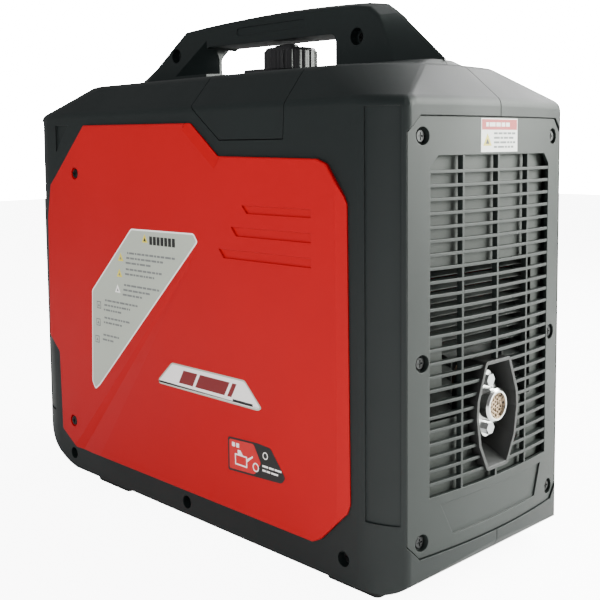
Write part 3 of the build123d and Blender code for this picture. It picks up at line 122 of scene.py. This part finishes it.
# Body shells, their small end cover and the two handle halves. They are injection moulded in charcoal
# plastic with a fine spark-eroded grain, meet on the centre line and are held by sunk screws.
def moulded(name, colour, rough, grain=0.00012, grain_scale=1500.0, patch=0.05, tint=0.10, specular=0.5,
            edge=0.0009):
    """Moulded plastic: soft edges, fine grain as a bump, slow patches of roughness, a slight change of tone.

    Grain is noise at grain_scale per metre; roughness is rough +- patch from noise at 9 per metre;
    tone is the colour times 1 +- tint from noise at 5 per metre. edge is the mould's corner radius.
    """
    material = bpy.data.materials.new(name)
    material.use_nodes = True
    nodes, links = material.node_tree.nodes, material.node_tree.links
    shader = nodes["Principled BSDF"]
    shader.inputs["Specular IOR Level"].default_value = specular
    place = nodes.new("ShaderNodeTexCoord")
    fine = nodes.new("ShaderNodeTexNoise")
    fine.inputs["Scale"].default_value = grain_scale
    fine.inputs["Detail"].default_value = 2.0
    links.new(place.outputs["Object"], fine.inputs["Vector"])
    bump = nodes.new("ShaderNodeBump")
    bump.inputs["Strength"].default_value = 0.5
    bump.inputs["Distance"].default_value = grain
    links.new(fine.outputs["Fac"], bump.inputs["Height"])
    if edge:
        softened = nodes.new("ShaderNodeBevel")
        softened.samples = 4
        softened.inputs["Radius"].default_value = edge
        links.new(softened.outputs["Normal"], bump.inputs["Normal"])
    links.new(bump.outputs["Normal"], shader.inputs["Normal"])
    slow = nodes.new("ShaderNodeTexNoise")
    slow.inputs["Scale"].default_value = 9.0
    slow.inputs["Detail"].default_value = 6.0
    links.new(place.outputs["Object"], slow.inputs["Vector"])
    spread = nodes.new("ShaderNodeMapRange")
    spread.inputs["From Min"].default_value = 0.3
    spread.inputs["From Max"].default_value = 0.7
    spread.inputs["To Min"].default_value = rough - patch
    spread.inputs["To Max"].default_value = rough + patch
    links.new(slow.outputs["Fac"], spread.inputs["Value"])
    links.new(spread.outputs["Result"], shader.inputs["Roughness"])
    tone = nodes.new("ShaderNodeTexNoise")
    tone.inputs["Scale"].default_value = 5.0
    tone.inputs["Detail"].default_value = 8.0
    links.new(place.outputs["Object"], tone.inputs["Vector"])
    ramp = nodes.new("ShaderNodeValToRGB")
    ramp.color_ramp.elements[0].position = 0.3
    ramp.color_ramp.elements[1].position = 0.7
    ramp.color_ramp.elements[0].color = [c * (1 - tint) for c in colour] + [1]
    ramp.color_ramp.elements[1].color = [c * (1 + tint) for c in colour] + [1]
    links.new(tone.outputs["Fac"], ramp.inputs["Fac"])
    links.new(ramp.outputs["Color"], shader.inputs["Base Color"])
    return material


def dress(material, *nodes):
    """Gives CAD pieces their finish."""
    for node in nodes:
        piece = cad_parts[node]
        piece.data.materials.clear()
        piece.data.materials.append(material)


charcoal_moulding = moulded("charcoal_moulding", (0.007, 0.0098, 0.0098), 0.50, specular=0.42)
dress(charcoal_moulding, "service_side_shell", "starter_side_shell", "spark_plug_cover")
handle_moulding = moulded("handle_moulding", (0.007, 0.0098, 0.0098), 0.46, specular=0.42)
dress(handle_moulding, "handle_service_half", "handle_starter_half")

# Red side covers: satin red mouldings with cooling slots, screwed to the shells.
# The maintenance cover is on the service side and the starter cover on the other.
red_moulding = moulded("red_moulding", (0.385, 0.0018, 0.0050), 0.42, grain=0.00006, patch=0.04, tint=0.05,
                       specular=0.22)
dress(red_moulding, "maintenance_cover", "starter_cover")


# Labels: printed vinyl, stuck on after moulding. Three are on the maintenance cover: a caution
# panel, a name badge left blank, and an oil reminder. A small one is on the exhaust cover.
def slab(outline, back, front, place):
    """A flat shape with thickness: outline is (u, v) points in mm, anticlockwise from outside.

    The front face is the outline at depth front, the back face the same at depth back, with one
    wall per edge. place turns (u, v, depth) arrays into x, y, z in metres.
    """
    outline = np.asarray(outline, dtype=float)
    count = len(outline)
    u, v = np.tile(outline[:, 0], 2), np.tile(outline[:, 1], 2)
    depth = np.repeat([front, back], count)
    ring = np.arange(count)
    after = (ring + 1) % count
    walls = np.stack([ring, ring + count, after + count, after], axis=1)
    faces = [list(ring), list(ring[::-1] + count)] + walls.tolist()
    return place(u, v, depth), faces


def printed(name, prints, place, body):
    """One mesh from many slabs. prints is a list of (material, outline, back, front)."""
    inks = []
    corners, faces, ink_of_face = [], [], []
    start = 0
    for ink, outline, back, front in prints:
        if ink not in inks:
            inks.append(ink)
        points, sides = slab(outline, back, front, place)
        corners.append(points)
        faces += [[start + corner for corner in side] for side in sides]
        ink_of_face += [inks.index(ink)] * len(sides)
        start += len(points)
    mesh = bpy.data.meshes.new(name)
    mesh.from_pydata(np.concatenate(corners).tolist(), [], faces)
    for ink in inks:
        mesh.materials.append(ink)
    mesh.polygons.foreach_set("material_index", ink_of_face)
    piece = bpy.data.objects.new(name, mesh)
    bpy.context.scene.collection.objects.link(piece)
    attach(piece, body)
    return piece


def rounded(outline, radius, steps=5):
    """The outline with each corner cut back by radius and joined by a quadratic curve of that corner."""
    outline = np.asarray(outline, dtype=float)
    before, after = np.roll(outline, 1, axis=0), np.roll(outline, -1, axis=0)
    to_before = (before - outline) / np.linalg.norm(before - outline, axis=1, keepdims=True)
    to_after = (after - outline) / np.linalg.norm(after - outline, axis=1, keepdims=True)
    t = np.linspace(0, 1, steps)[None, :, None]
    a, b = (outline + radius * to_before)[:, None], (outline + radius * to_after)[:, None]
    return ((1 - t) ** 2 * a + 2 * t * (1 - t) * outline[:, None] + t ** 2 * b).reshape(-1, 2)


def inset(outline, by):
    """The outline moved inwards by the same distance on every side, for a convex outline."""
    outline = np.asarray(outline, dtype=float)
    edge = np.roll(outline, -1, axis=0) - outline
    normal = np.stack([-edge[:, 1], edge[:, 0]], axis=1) / np.linalg.norm(edge, axis=1, keepdims=True)
    before = np.roll(normal, 1, axis=0)
    along = (normal + before) / (1 + (normal * before).sum(axis=1, keepdims=True))
    return outline + by * along


def words(left, top, width, height, line, seed):
    """A line of print with no letters: bars of uneven length with gaps, until the width is used."""
    bars, x, count = [], left, 0
    while x < left + width - 2.0:
        wave = math.sin(12.9898 * (seed * 17 + line * 5 + count)) * 43758.5453
        length = min(2.5 + 7.0 * (wave - math.floor(wave)), left + width - x)
        bars.append([(x, top - height), (x + length, top - height), (x + length, top), (x, top)])
        x += length + 1.3
        count += 1
    return bars


def triangle(u, v, side):
    """An equal-sided triangle, point up, centred on (u, v)."""
    return [(u - side / 2, v - side * 0.29), (u + side / 2, v - side * 0.29), (u, v + side * 0.58)]


def on_cover(u, v, depth):
    """The maintenance cover's outer face, which is flat at y = -129.6 mm."""
    return np.stack([u, -129.6 - depth, v], axis=1) * 0.001


label_silver = moulded("label_silver", (0.40, 0.43, 0.37), 0.32, grain=0.00002, patch=0.06, tint=0.04, edge=0)
label_white = moulded("label_white", (0.88, 0.86, 0.84), 0.35, grain=0.00001, patch=0.04, tint=0.02, edge=0)
ink_black = moulded("ink_black", (0.012, 0.012, 0.012), 0.42, grain=0.00001, patch=0.03, tint=0.05, edge=0)
ink_grey = moulded("ink_grey", (0.16, 0.17, 0.17), 0.45, grain=0.00001, patch=0.03, tint=0.05, edge=0)
ink_yellow = moulded("ink_yellow", (0.72, 0.60, 0.05), 0.40, grain=0.00001, patch=0.03, tint=0.04, edge=0)
ink_red = moulded("ink_red", (0.48, 0.012, 0.014), 0.38, grain=0.00001, patch=0.03, tint=0.04, edge=0)
ink_maroon = moulded("ink_maroon", (0.16, 0.010, 0.012), 0.40, grain=0.00001, patch=0.03, tint=0.04, edge=0)

film, first_ink, second_ink, third_ink = 0.20, 0.27, 0.33, 0.39
caution_outline = [(-151, 228), (-156, 126), (-150, 118), (-141, 124), (36, 292), (30, 300), (-74, 299)]
prints = [(label_white, rounded(caution_outline, 2.5), -0.05, film),
          (label_silver, rounded(inset(caution_outline, 1.6), 2.0), 0.0, first_ink),
          (ink_yellow, triangle(-50, 289, 10), first_ink - 0.05, second_ink),
          (ink_black, triangle(-50, 288.7, 4.5), first_ink - 0.05, third_ink)]
for letter in range(7):
    left = -42 + 6.3 * letter
    prints.append((ink_black, [(left, 284.5), (left + 4.9, 284.5), (left + 4.9, 293), (left, 293)],
                   first_ink - 0.05, second_ink))
caution_rows = ((-94, 267, 3, 82, "triangle"), (-97, 250, 2, 66, "triangle"), (-101, 233, 3, 62, "faint"),
                (-138, 213, 3, 62, "square"), (-140, 194, 2, 48, "square"), (-143, 175, 2, 30, "square"))
for row, (icon_u, icon_v, lines, width, shape) in enumerate(caution_rows):
    if shape == "square":
        frame_outline = [(icon_u - 4, icon_v - 4), (icon_u + 4, icon_v - 4), (icon_u + 4, icon_v + 4),
                         (icon_u - 4, icon_v + 4)]
        prints.append((ink_grey, frame_outline, first_ink - 0.05, second_ink))
        prints.append((label_silver, inset(frame_outline, 1.1), first_ink, third_ink - 0.02))
        prints.append((ink_grey, triangle(icon_u, icon_v - 0.5, 4.2), first_ink, third_ink))
    else:
        prints.append((ink_yellow if shape == "triangle" else label_white, triangle(icon_u, icon_v, 10),
                       first_ink - 0.05, second_ink))
        prints.append((ink_grey, triangle(icon_u, icon_v - 0.3, 3.6), first_ink, third_ink))
    for line in range(lines):
        left = icon_u + 12 - 1.5 * line
        for bar in words(left, icon_v + 7.4 - 5.2 * line, width * (1 - 0.22 * line), 2.1, line, row):
            prints.append((ink_grey, bar, first_ink - 0.05, second_ink))
caution_panel = printed("caution_panel", prints, on_cover, "housing")

badge_outline = [(-32, 149), (-31, 145), (119, 145), (124, 148), (101, 170), (-9, 169.5)]
prints = [(label_silver, rounded(badge_outline, 2.5), -0.05, film),
          (label_white, rounded(inset(badge_outline, 1.5), 2.0), 0.0, first_ink),
          (ink_maroon, [(2, 151), (24, 151), (32, 164.5), (10, 164.5)], first_ink - 0.05, second_ink),
          (ink_maroon, [(28, 151), (72, 151), (80, 164.5), (36, 164.5)], first_ink - 0.05, second_ink),
          (ink_maroon, [(76, 151), (82, 151), (90, 164.5), (84, 164.5)], first_ink - 0.05, second_ink),
          (ink_black, [(84, 147.6), (112, 147.6), (112, 149.8), (84, 149.8)], first_ink - 0.05, second_ink)]
printed("name_badge", prints, on_cover, "housing")

oil_outline = [(76, 113), (76, 81), (149, 85), (154, 91), (135, 114), (117, 115)]
oil_red = [(78, 111.2), (78, 83.2), (113, 85.0), (122, 97), (112, 113)]
prints = [(ink_black, rounded(oil_outline, 2.5), -0.05, film),
          (ink_red, rounded(oil_red, 2.0), 0.0, first_ink)]
can = [(86, 88.5), (103, 88.5), (103, 99), (97, 99), (94, 103), (90, 103), (90, 99), (86, 99)]
prints.append((label_white, can, first_ink - 0.05, second_ink))
prints.append((ink_red, [(87.3, 89.8), (101.7, 89.8), (101.7, 97.7), (87.3, 97.7)], first_ink,
               third_ink - 0.02))
prints.append((label_white, [(103, 94), (111, 100), (111, 101.6), (103, 97)], first_ink - 0.05, second_ink))
for left, low, high in ((82, 105, 109), (88, 105, 109)):
    prints.append((label_white, [(left, low), (left + 4, low), (left + 4, high), (left, high)],
                   first_ink - 0.05, second_ink))
dot_turn = np.linspace(0, 2 * np.pi, 20, endpoint=False)
for dot_u, dot_v, radius, ink, front in ((115, 92, 4.2, label_white, second_ink),
                                         (115, 92, 3.0, ink_red, third_ink),
                                         (128, 105.5, 3.4, label_white, second_ink),
                                         (128, 105.5, 2.5, ink_black, third_ink)):
    dot = np.stack([dot_u + radius * np.cos(dot_turn), dot_v + radius * np.sin(dot_turn)], axis=1)
    prints.append((ink, dot, film - 0.02, front))
for line in range(2):
    for bar in words(124, 96.5 - 4.0 * line, 26 - 4 * line, 1.7, line, 9):
        prints.append((label_white, bar, film - 0.02, second_ink))
printed("oil_reminder", prints, on_cover, "housing")


def on_bow(u, v, depth):
    """The exhaust cover's bowed face: an upright cylinder of radius 670 mm, crest at x = 284.6 mm."""
    bow = 670.0
    return np.stack([284.6 - bow + np.sqrt((bow + depth) ** 2 - u ** 2), u, v], axis=1) * 0.001


def strips(ink, left, low, right, high, back, front, widest=5.0):
    """A rectangle as narrow upright slabs side by side, so that it follows the bow."""
    edges = np.linspace(left, right, max(2, int(math.ceil((right - left) / widest)) + 1))
    return [(ink, [(a, low), (b, low), (b, high), (a, high)], back, front)
            for a, b in zip(edges[:-1], edges[1:])]


sticker_low, sticker_high, sticker_left, sticker_right = 375.0, 403.0, -25.5, 27.5
prints = strips(label_white, sticker_left, sticker_low, sticker_right, sticker_high, -0.05, 0.14)
prints += strips(ink_red, sticker_left + 0.8, 393.5, sticker_right - 0.8, sticker_high - 0.8, 0.1, 0.20)
prints += [(label_white, bar, 0.15, 0.25) for bar in words(-19, 399.6, 34, 3.4, 0, 3)]
prints.append((ink_yellow, triangle(-17, 383.6, 12), 0.1, 0.20))
prints.append((ink_black, triangle(-17, 383.2, 5), 0.15, 0.27))
for line in range(4):
    prints += [(ink_grey, bar, 0.1, 0.22)
               for bar in words(-8, 391.4 - 3.8 * line, 32 - 3 * (line % 2), 1.7, line, 5)]
printed("end_sticker", prints, on_bow, "housing")
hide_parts("labels")


# Screws of the covers, shells and handle: blackened steel, driven into bosses. The tail pipe's
# flange has two zinc-plated bolts.
def metal(name, colour, rough, patch=0.06, metallic=1.0):
    """Bare or plated metal: one noise at 40 per metre makes roughness rough +- patch, a tone from 0.82 to
    1.06 times the colour, and a slight bump."""
    material = bpy.data.materials.new(name)
    material.use_nodes = True
    nodes, links = material.node_tree.nodes, material.node_tree.links
    shader = nodes["Principled BSDF"]
    shader.inputs["Metallic"].default_value = metallic
    place = nodes.new("ShaderNodeTexCoord")
    cloud = nodes.new("ShaderNodeTexNoise")
    cloud.inputs["Scale"].default_value = 40.0
    cloud.inputs["Detail"].default_value = 6.0
    links.new(place.outputs["Object"], cloud.inputs["Vector"])
    spread = nodes.new("ShaderNodeMapRange")
    spread.inputs["From Min"].default_value = 0.3
    spread.inputs["From Max"].default_value = 0.7
    spread.inputs["To Min"].default_value = max(0.03, rough - patch)
    spread.inputs["To Max"].default_value = rough + patch
    links.new(cloud.outputs["Fac"], spread.inputs["Value"])
    links.new(spread.outputs["Result"], shader.inputs["Roughness"])
    ramp = nodes.new("ShaderNodeValToRGB")
    ramp.color_ramp.elements[0].position = 0.25
    ramp.color_ramp.elements[1].position = 0.75
    ramp.color_ramp.elements[0].color = [c * 0.82 for c in colour] + [1]
    ramp.color_ramp.elements[1].color = [min(1.0, c * 1.06) for c in colour] + [1]
    links.new(cloud.outputs["Fac"], ramp.inputs["Fac"])
    links.new(ramp.outputs["Color"], shader.inputs["Base Color"])
    bump = nodes.new("ShaderNodeBump")
    bump.inputs["Strength"].default_value = 0.25
    bump.inputs["Distance"].default_value = 0.0001
    links.new(cloud.outputs["Fac"], bump.inputs["Height"])
    links.new(bump.outputs["Normal"], shader.inputs["Normal"])
    return material


zinc_plate = metal("zinc_plate", (0.55, 0.55, 0.56), 0.30)
dress(zinc_plate, "tail_pipe_bolts")
blackened_steel = metal("blackened_steel", (0.045, 0.045, 0.046), 0.42)
dress(blackened_steel, "side_cover_screws", "case_screws", "end_cover_screws", "handle_screws")

# Exhaust cover and the blanking plate behind it: the same charcoal plastic, with a slatted grille. Their
# paler colours are painted light, lit copies of the charcoal for the end that faces the main lamp: a little
# paler on the cover, which is also smoother, and paler still on the plate. The louvred baffle behind the
# slats is black-painted sheet, coloured grey as a painted highlight on its blades.
painted_lit_end_moulding = moulded("painted_lit_end_moulding", (0.012, 0.0155, 0.0145), 0.48, specular=0.45)
dress(painted_lit_end_moulding, "exhaust_end_cover")
# The plate's pale grey is painted light: a lit copy of the charcoal plastic.
painted_lit_blank_moulding = moulded("painted_lit_blank_moulding", (0.035, 0.040, 0.036), 0.55)
dress(painted_lit_blank_moulding, "grille_blanking_plate")
# The baffle's grey, paler than its black paint, is a painted highlight on its blades.
black_sheet_painted_highlight = moulded("black_sheet_painted_highlight", (0.035, 0.038, 0.036), 0.42)
dress(black_sheet_painted_highlight, "louvre_baffle")

# Exhaust outlet: a heat-proof black shroud round a polished stainless tail pipe, with a spark arrestor
# screen in its mouth, browned wire with its holes painted near black as the shade behind them.
shroud_moulding = moulded("shroud_moulding", (0.018, 0.018, 0.018), 0.40)
dress(shroud_moulding, "exhaust_shroud")
polished_tube = metal("polished_tube", (0.80, 0.80, 0.79), 0.16, patch=0.05)
dress(polished_tube, "tail_pipe")

holed_screen_painted_shade = bpy.data.materials.new("holed_screen_painted_shade")
holed_screen_painted_shade.use_nodes = True
nodes, links = holed_screen_painted_shade.node_tree.nodes, holed_screen_painted_shade.node_tree.links
shader = nodes["Principled BSDF"]
shader.inputs["Metallic"].default_value = 0.8
place = nodes.new("ShaderNodeTexCoord")
holes = nodes.new("ShaderNodeTexVoronoi")
holes.inputs["Scale"].default_value = 420.0
links.new(place.outputs["Object"], holes.inputs["Vector"])
# Near-black spots where the holes are: painted shade of the pipe seen through them; browned wire between.
ramp = nodes.new("ShaderNodeValToRGB")
ramp.color_ramp.elements[0].position = 0.30
ramp.color_ramp.elements[1].position = 0.42
ramp.color_ramp.elements[0].color = (0.012, 0.009, 0.007, 1)
ramp.color_ramp.elements[1].color = (0.42, 0.30, 0.20, 1)
links.new(holes.outputs["Distance"], ramp.inputs["Fac"])
links.new(ramp.outputs["Color"], shader.inputs["Base Color"])
shader.inputs["Roughness"].default_value = 0.45
bump = nodes.new("ShaderNodeBump")
bump.inputs["Strength"].default_value = 0.9
bump.inputs["Distance"].default_value = 0.001
links.new(holes.outputs["Distance"], bump.inputs["Height"])
links.new(bump.outputs["Normal"], shader.inputs["Normal"])
dress(holed_screen_painted_shade, "spark_arrestor_screen")

# Muffler and exhaust header: sheet steel that heat has browned, behind the exhaust cover.
browned_steel = metal("browned_steel", (0.40, 0.33, 0.27), 0.42, patch=0.12)
dress(browned_steel, "muffler", "exhaust_header")

# Fuel filler: fluted semi-gloss cap with a vent lever, on a black collar and a rubber gasket.
cap_moulding = moulded("cap_moulding", (0.014, 0.014, 0.015), 0.30, grain=0.00004, patch=0.06)
dress(cap_moulding, "fuel_cap", "filler_collar", "vent_lever")
soft_rubber = moulded("soft_rubber", (0.012, 0.012, 0.012), 0.75, grain=0.0003, grain_scale=700.0)
dress(soft_rubber, "filler_gasket", "rubber_feet", "engine_mounts", "spark_plug_cap")

# Base tray, fuel tank, air filter box, fan and rope reel: black structural plastic, screwed or
# clipped in place inside the shells.
inner_moulding = moulded("inner_moulding", (0.022, 0.022, 0.023), 0.55)
dress(inner_moulding, "base_tray", "fuel_tank", "air_filter_box", "air_filter_lid", "cooling_fan",
      "recoil_reel")

# Engine and its inverter: sand-blasted aluminium castings bolted together over a ground steel
# crankshaft, with a varnished stator core and a moulded yellow dipstick.
cast_alloy = metal("cast_alloy", (0.60, 0.61, 0.62), 0.50, patch=0.10)
dress(cast_alloy, "crankcase", "cylinder", "cylinder_head", "rocker_cover", "carburettor", "piston",
      "inverter_module")
ground_steel = metal("ground_steel", (0.52, 0.52, 0.53), 0.30)
dress(ground_steel, "crankshaft", "spark_plug", "flywheel_rotor", "recoil_housing")
varnished_core = metal("varnished_core", (0.25, 0.12, 0.05), 0.40, metallic=0.3)
dress(varnished_core, "stator")
yellow_moulding = moulded("yellow_moulding", (0.60, 0.38, 0.02), 0.40)
dress(yellow_moulding, "oil_dipstick")

# Control panel: a fine-textured black plate in a bezel, with lidded sockets, a dark meter window
# and red switches.
panel_moulding = moulded("panel_moulding", (0.014, 0.015, 0.016), 0.45)
dress(panel_moulding, "control_panel", "panel_sockets", "socket_lid_left", "socket_lid_right", "dc_cover")
bezel_moulding = moulded("bezel_moulding", (0.030, 0.032, 0.034), 0.36)
dress(bezel_moulding, "panel_bezel", "breaker_button")
meter_window = moulded("meter_window", (0.008, 0.020, 0.022), 0.10, grain=0.0, patch=0.03)
dress(meter_window, "meter_display")
red_switch = moulded("red_switch", (0.55, 0.015, 0.015), 0.30, grain=0.00002)
dress(red_switch, "engine_knob", "eco_switch", "start_button")

# Starter grip: a rubber-coated T on the end of the pull rope.
dress(soft_rubber, "recoil_handle")

# Starter rope: braided nylon, tied to the reel and to the grip. It stays straight.
rope_weave = moulded("rope_weave", (0.55, 0.53, 0.47), 0.8, grain=0.0003, grain_scale=900.0, edge=0)
rope_low, rope_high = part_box("starter_rope")
rope_x, rope_z = (rope_low[0] + rope_high[0]) / 2, (rope_low[2] + rope_high[2]) / 2
rope_radius = (rope_high[0] - rope_low[0]) / 2
rope_rings, rope_sides = 400, 24
rope_strands, rope_lay, rope_relief = 8, 14.0, 0.07


def braided_tube(y, turn):
    """A braided tube along Y. Its radius is the rope's, times 1 - relief + relief cos(strands * turn)
    cos(lay), where lay runs through rope_lay turns from one end to the other."""
    lay = 2 * np.pi * rope_lay * (y - y.min()) / (y.max() - y.min())
    radius = rope_radius * (1 - rope_relief + rope_relief * np.cos(rope_strands * turn) * np.cos(lay))
    return np.stack([rope_x + radius * np.cos(turn), y + 0 * turn, rope_z + radius * np.sin(turn)], axis=-1)


rope_y, rope_turn = np.meshgrid(np.linspace(rope_low[1], rope_high[1], rope_rings),
                                np.linspace(0, 2 * np.pi, rope_sides, endpoint=False), indexing="ij")
rope_points = braided_tube(rope_y, rope_turn).reshape(-1, 3)
ring, side = np.meshgrid(np.arange(rope_rings - 1), np.arange(rope_sides), indexing="ij")
next_side = (side + 1) % rope_sides
rope_faces = np.stack([ring * rope_sides + side, (ring + 1) * rope_sides + side,
                       (ring + 1) * rope_sides + next_side, ring * rope_sides + next_side],
                      axis=-1).reshape(-1, 4)
rope_last = rope_rings * rope_sides - 1
rope_ends = [list(range(rope_sides)), list(range(rope_last, rope_last - rope_sides, -1))]
rope_mesh = bpy.data.meshes.new("braided_rope")
rope_mesh.from_pydata(rope_points.tolist(), [], rope_faces.tolist() + rope_ends)
rope_mesh.materials.append(rope_weave)
braided_rope = bpy.data.objects.new("braided_rope", rope_mesh)
bpy.context.scene.collection.objects.link(braided_rope)
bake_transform(braided_rope)
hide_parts("starter_rope")


# Panel print: white marks silk-screened on the panel plate, a scale round the engine knob, and
# dim bar segments behind the meter window.
panel_foot, panel_top, panel_middle = (-286.0, 190.0), (-262.0, 418.0), 300.0
panel_lean = math.atan2(panel_top[0] - panel_foot[0], panel_top[1] - panel_foot[1])
panel_x = panel_foot[0] + (panel_middle - panel_foot[1]) * math.tan(panel_lean)
plate_front = -14.0


def on_panel(u, v, depth):
    """The leaning panel plate's front: u across, v up the lean, depth out of it, all in mm."""
    out = plate_front + depth
    return np.stack([panel_x + v * math.sin(panel_lean) - out * math.cos(panel_lean), -u,
                     panel_middle + v * math.cos(panel_lean) + out * math.sin(panel_lean)], axis=1) * 0.001


def block(left, low, right, high):
    """A rectangle's outline from its lower left and upper right corners."""
    return [(left, low), (right, low), (right, high), (left, high)]


print_white = moulded("print_white", (0.62, 0.62, 0.60), 0.5, grain=0.00001, edge=0)
print_back, print_front, print_line = -0.1, 0.12, 0.8
prints = []
for left, low, right, high in ((-80, -34, 46, 30), (-84, -84, -32, -46), (46, -84, 88, -46)):
    for edge in ((left, low, right, low + print_line), (left, high - print_line, right, high),
                 (left, low, left + print_line, high), (right - print_line, low, right, high)):
        prints.append((print_white, block(*edge), print_back, print_front))
knob_u, knob_v, tick_start, tick_half, print_limit = 62, 62, 25.6, 0.5, 92
for tick, angle in enumerate((90, 60, 30, 0, -30)):
    turn = math.radians(angle)
    tick_end = 29.0 if tick % 2 == 0 else 27.5
    along, across = (math.cos(turn), math.sin(turn)), (-math.sin(turn), math.cos(turn))
    if knob_u + tick_end * along[0] < print_limit:
        outline = [(knob_u + r * along[0] + h * across[0], knob_v + r * along[1] + h * across[1])
                   for r, h in ((tick_start, -tick_half), (tick_end, -tick_half),
                                (tick_end, tick_half), (tick_start, tick_half))]
        prints.append((print_white, outline, print_back, print_front))
headings = ((-78, 44, 36), (12, 87, 26), (-16, 36, 16), (50, -50, 30), (-18, -52, 20))
for line, (left, top, width) in enumerate(headings):
    prints += [(print_white, word, print_back, print_front) for word in words(left, top, width, 2.2, line, 7)]
printed("panel_print", prints, on_panel, "housing")

segment_lit = moulded("segment_lit", (0.05, 0.22, 0.19), 0.3, grain=0.00001, edge=0)
digit_left, digit_low, digit_pitch, segment_back, segment_front = -80, 58, 11.5, 2.1, 2.3
segments = ((0, 0, 7, 1.3), (0, 7.2, 7, 8.5), (0, 14.7, 7, 16), (0, 1.6, 1.3, 6.9), (5.7, 1.6, 7, 6.9),
            (0, 8.8, 1.3, 14.4), (5.7, 8.8, 7, 14.4))
prints = []
for digit in range(4):
    u = digit_left + digit_pitch * digit
    for left, low, right, high in segments:
        outline = block(u + left, digit_low + low, u + right, digit_low + high)
        prints.append((segment_lit, outline, segment_back, segment_front))
printed("meter_segments", prints, on_panel, "housing")

knob_mark_prints = [(print_white, block(60.9, 74, 63.1, 82), 11.1, 11.4)]
printed("knob_mark", knob_mark_prints, on_panel, "engine_knob")


# Indicator lamps, parallel sockets and earth stud: small turned pieces. The lamps are clear
# coloured plastic, the sockets moulded plastic and the stud brass, all pressed or screwed into the plate.
def turned(name, centre, profile, material, sides=32):
    """A profile of (radius, depth) points carried round the panel's normal at centre, with a flat end
    at its first and last rings."""
    profile = np.asarray(profile, dtype=float)
    turn = np.linspace(0, 2 * np.pi, sides, endpoint=False)
    radius, angle = np.meshgrid(profile[:, 0], turn, indexing="ij")
    depth = np.repeat(profile[:, 1], sides)
    points = on_panel(centre[0] + (radius * np.cos(angle)).ravel(),
                      centre[1] + (radius * np.sin(angle)).ravel(), depth)
    row, side = np.meshgrid(np.arange(len(profile) - 1), np.arange(sides), indexing="ij")
    after = (side + 1) % sides
    faces = np.stack([row * sides + side, row * sides + after, (row + 1) * sides + after,
                      (row + 1) * sides + side], axis=-1).reshape(-1, 4).tolist()
    faces += [list(range(sides))[::-1], list(range((len(profile) - 1) * sides, len(profile) * sides))]
    mesh = bpy.data.meshes.new(name)
    mesh.from_pydata(points.tolist(), [], faces)
    mesh.materials.append(material)
    mesh.polygons.foreach_set("use_smooth", [len(face) == 4 for face in faces])
    mesh.set_sharp_from_angle(angle=math.radians(35))
    piece = bpy.data.objects.new(name, mesh)
    bpy.context.scene.collection.objects.link(piece)
    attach(piece, "housing")
    return piece


lamp_radius, lamp_rim, lamp_rise, lamp_u, lamp_v, lamp_pitch = 3.4, 0.6, 2.0, 12, 78, 11
lamp_dome = [(lamp_radius, -0.2)] + [(lamp_radius * math.cos(a), lamp_rim + lamp_rise * math.sin(a))
                                     for a in np.linspace(0, 1.5, 8)]
lamps = (("run_lamp", (0.02, 0.30, 0.05)), ("overload_lamp", (0.45, 0.02, 0.02)),
         ("oil_lamp", (0.50, 0.28, 0.02)))
for place_in_row, (lamp, colour) in enumerate(lamps):
    lens = moulded(lamp + "_lens", colour, 0.15, grain=0.0, edge=0)
    turned(lamp, (lamp_u + lamp_pitch * place_in_row, lamp_v), lamp_dome, lens)
socket_profile = [(7.4, -0.2), (7.4, 2.6), (6.6, 3.4), (4.2, 3.4), (3.8, 2.8), (3.8, 0.4), (0.6, 0.4)]
socket_black = moulded("socket_black", (0.010, 0.010, 0.010), 0.4, edge=0)
turned("parallel_socket_upper", (16, -56), socket_profile, red_switch)
turned("parallel_socket_lower", (16, -76), socket_profile, socket_black)
earth_stud_brass = metal("earth_stud_brass", (0.62, 0.45, 0.16), 0.30)
stud_profile = [(6.0, -0.2), (6.0, 0.8), (4.6, 0.9), (4.6, 3.8), (2.6, 4.0), (2.6, 8.6), (2.1, 9.2),
                (0.4, 9.2)]
turned("earth_stud", (66, -66), stud_profile, earth_stud_brass, sides=18)
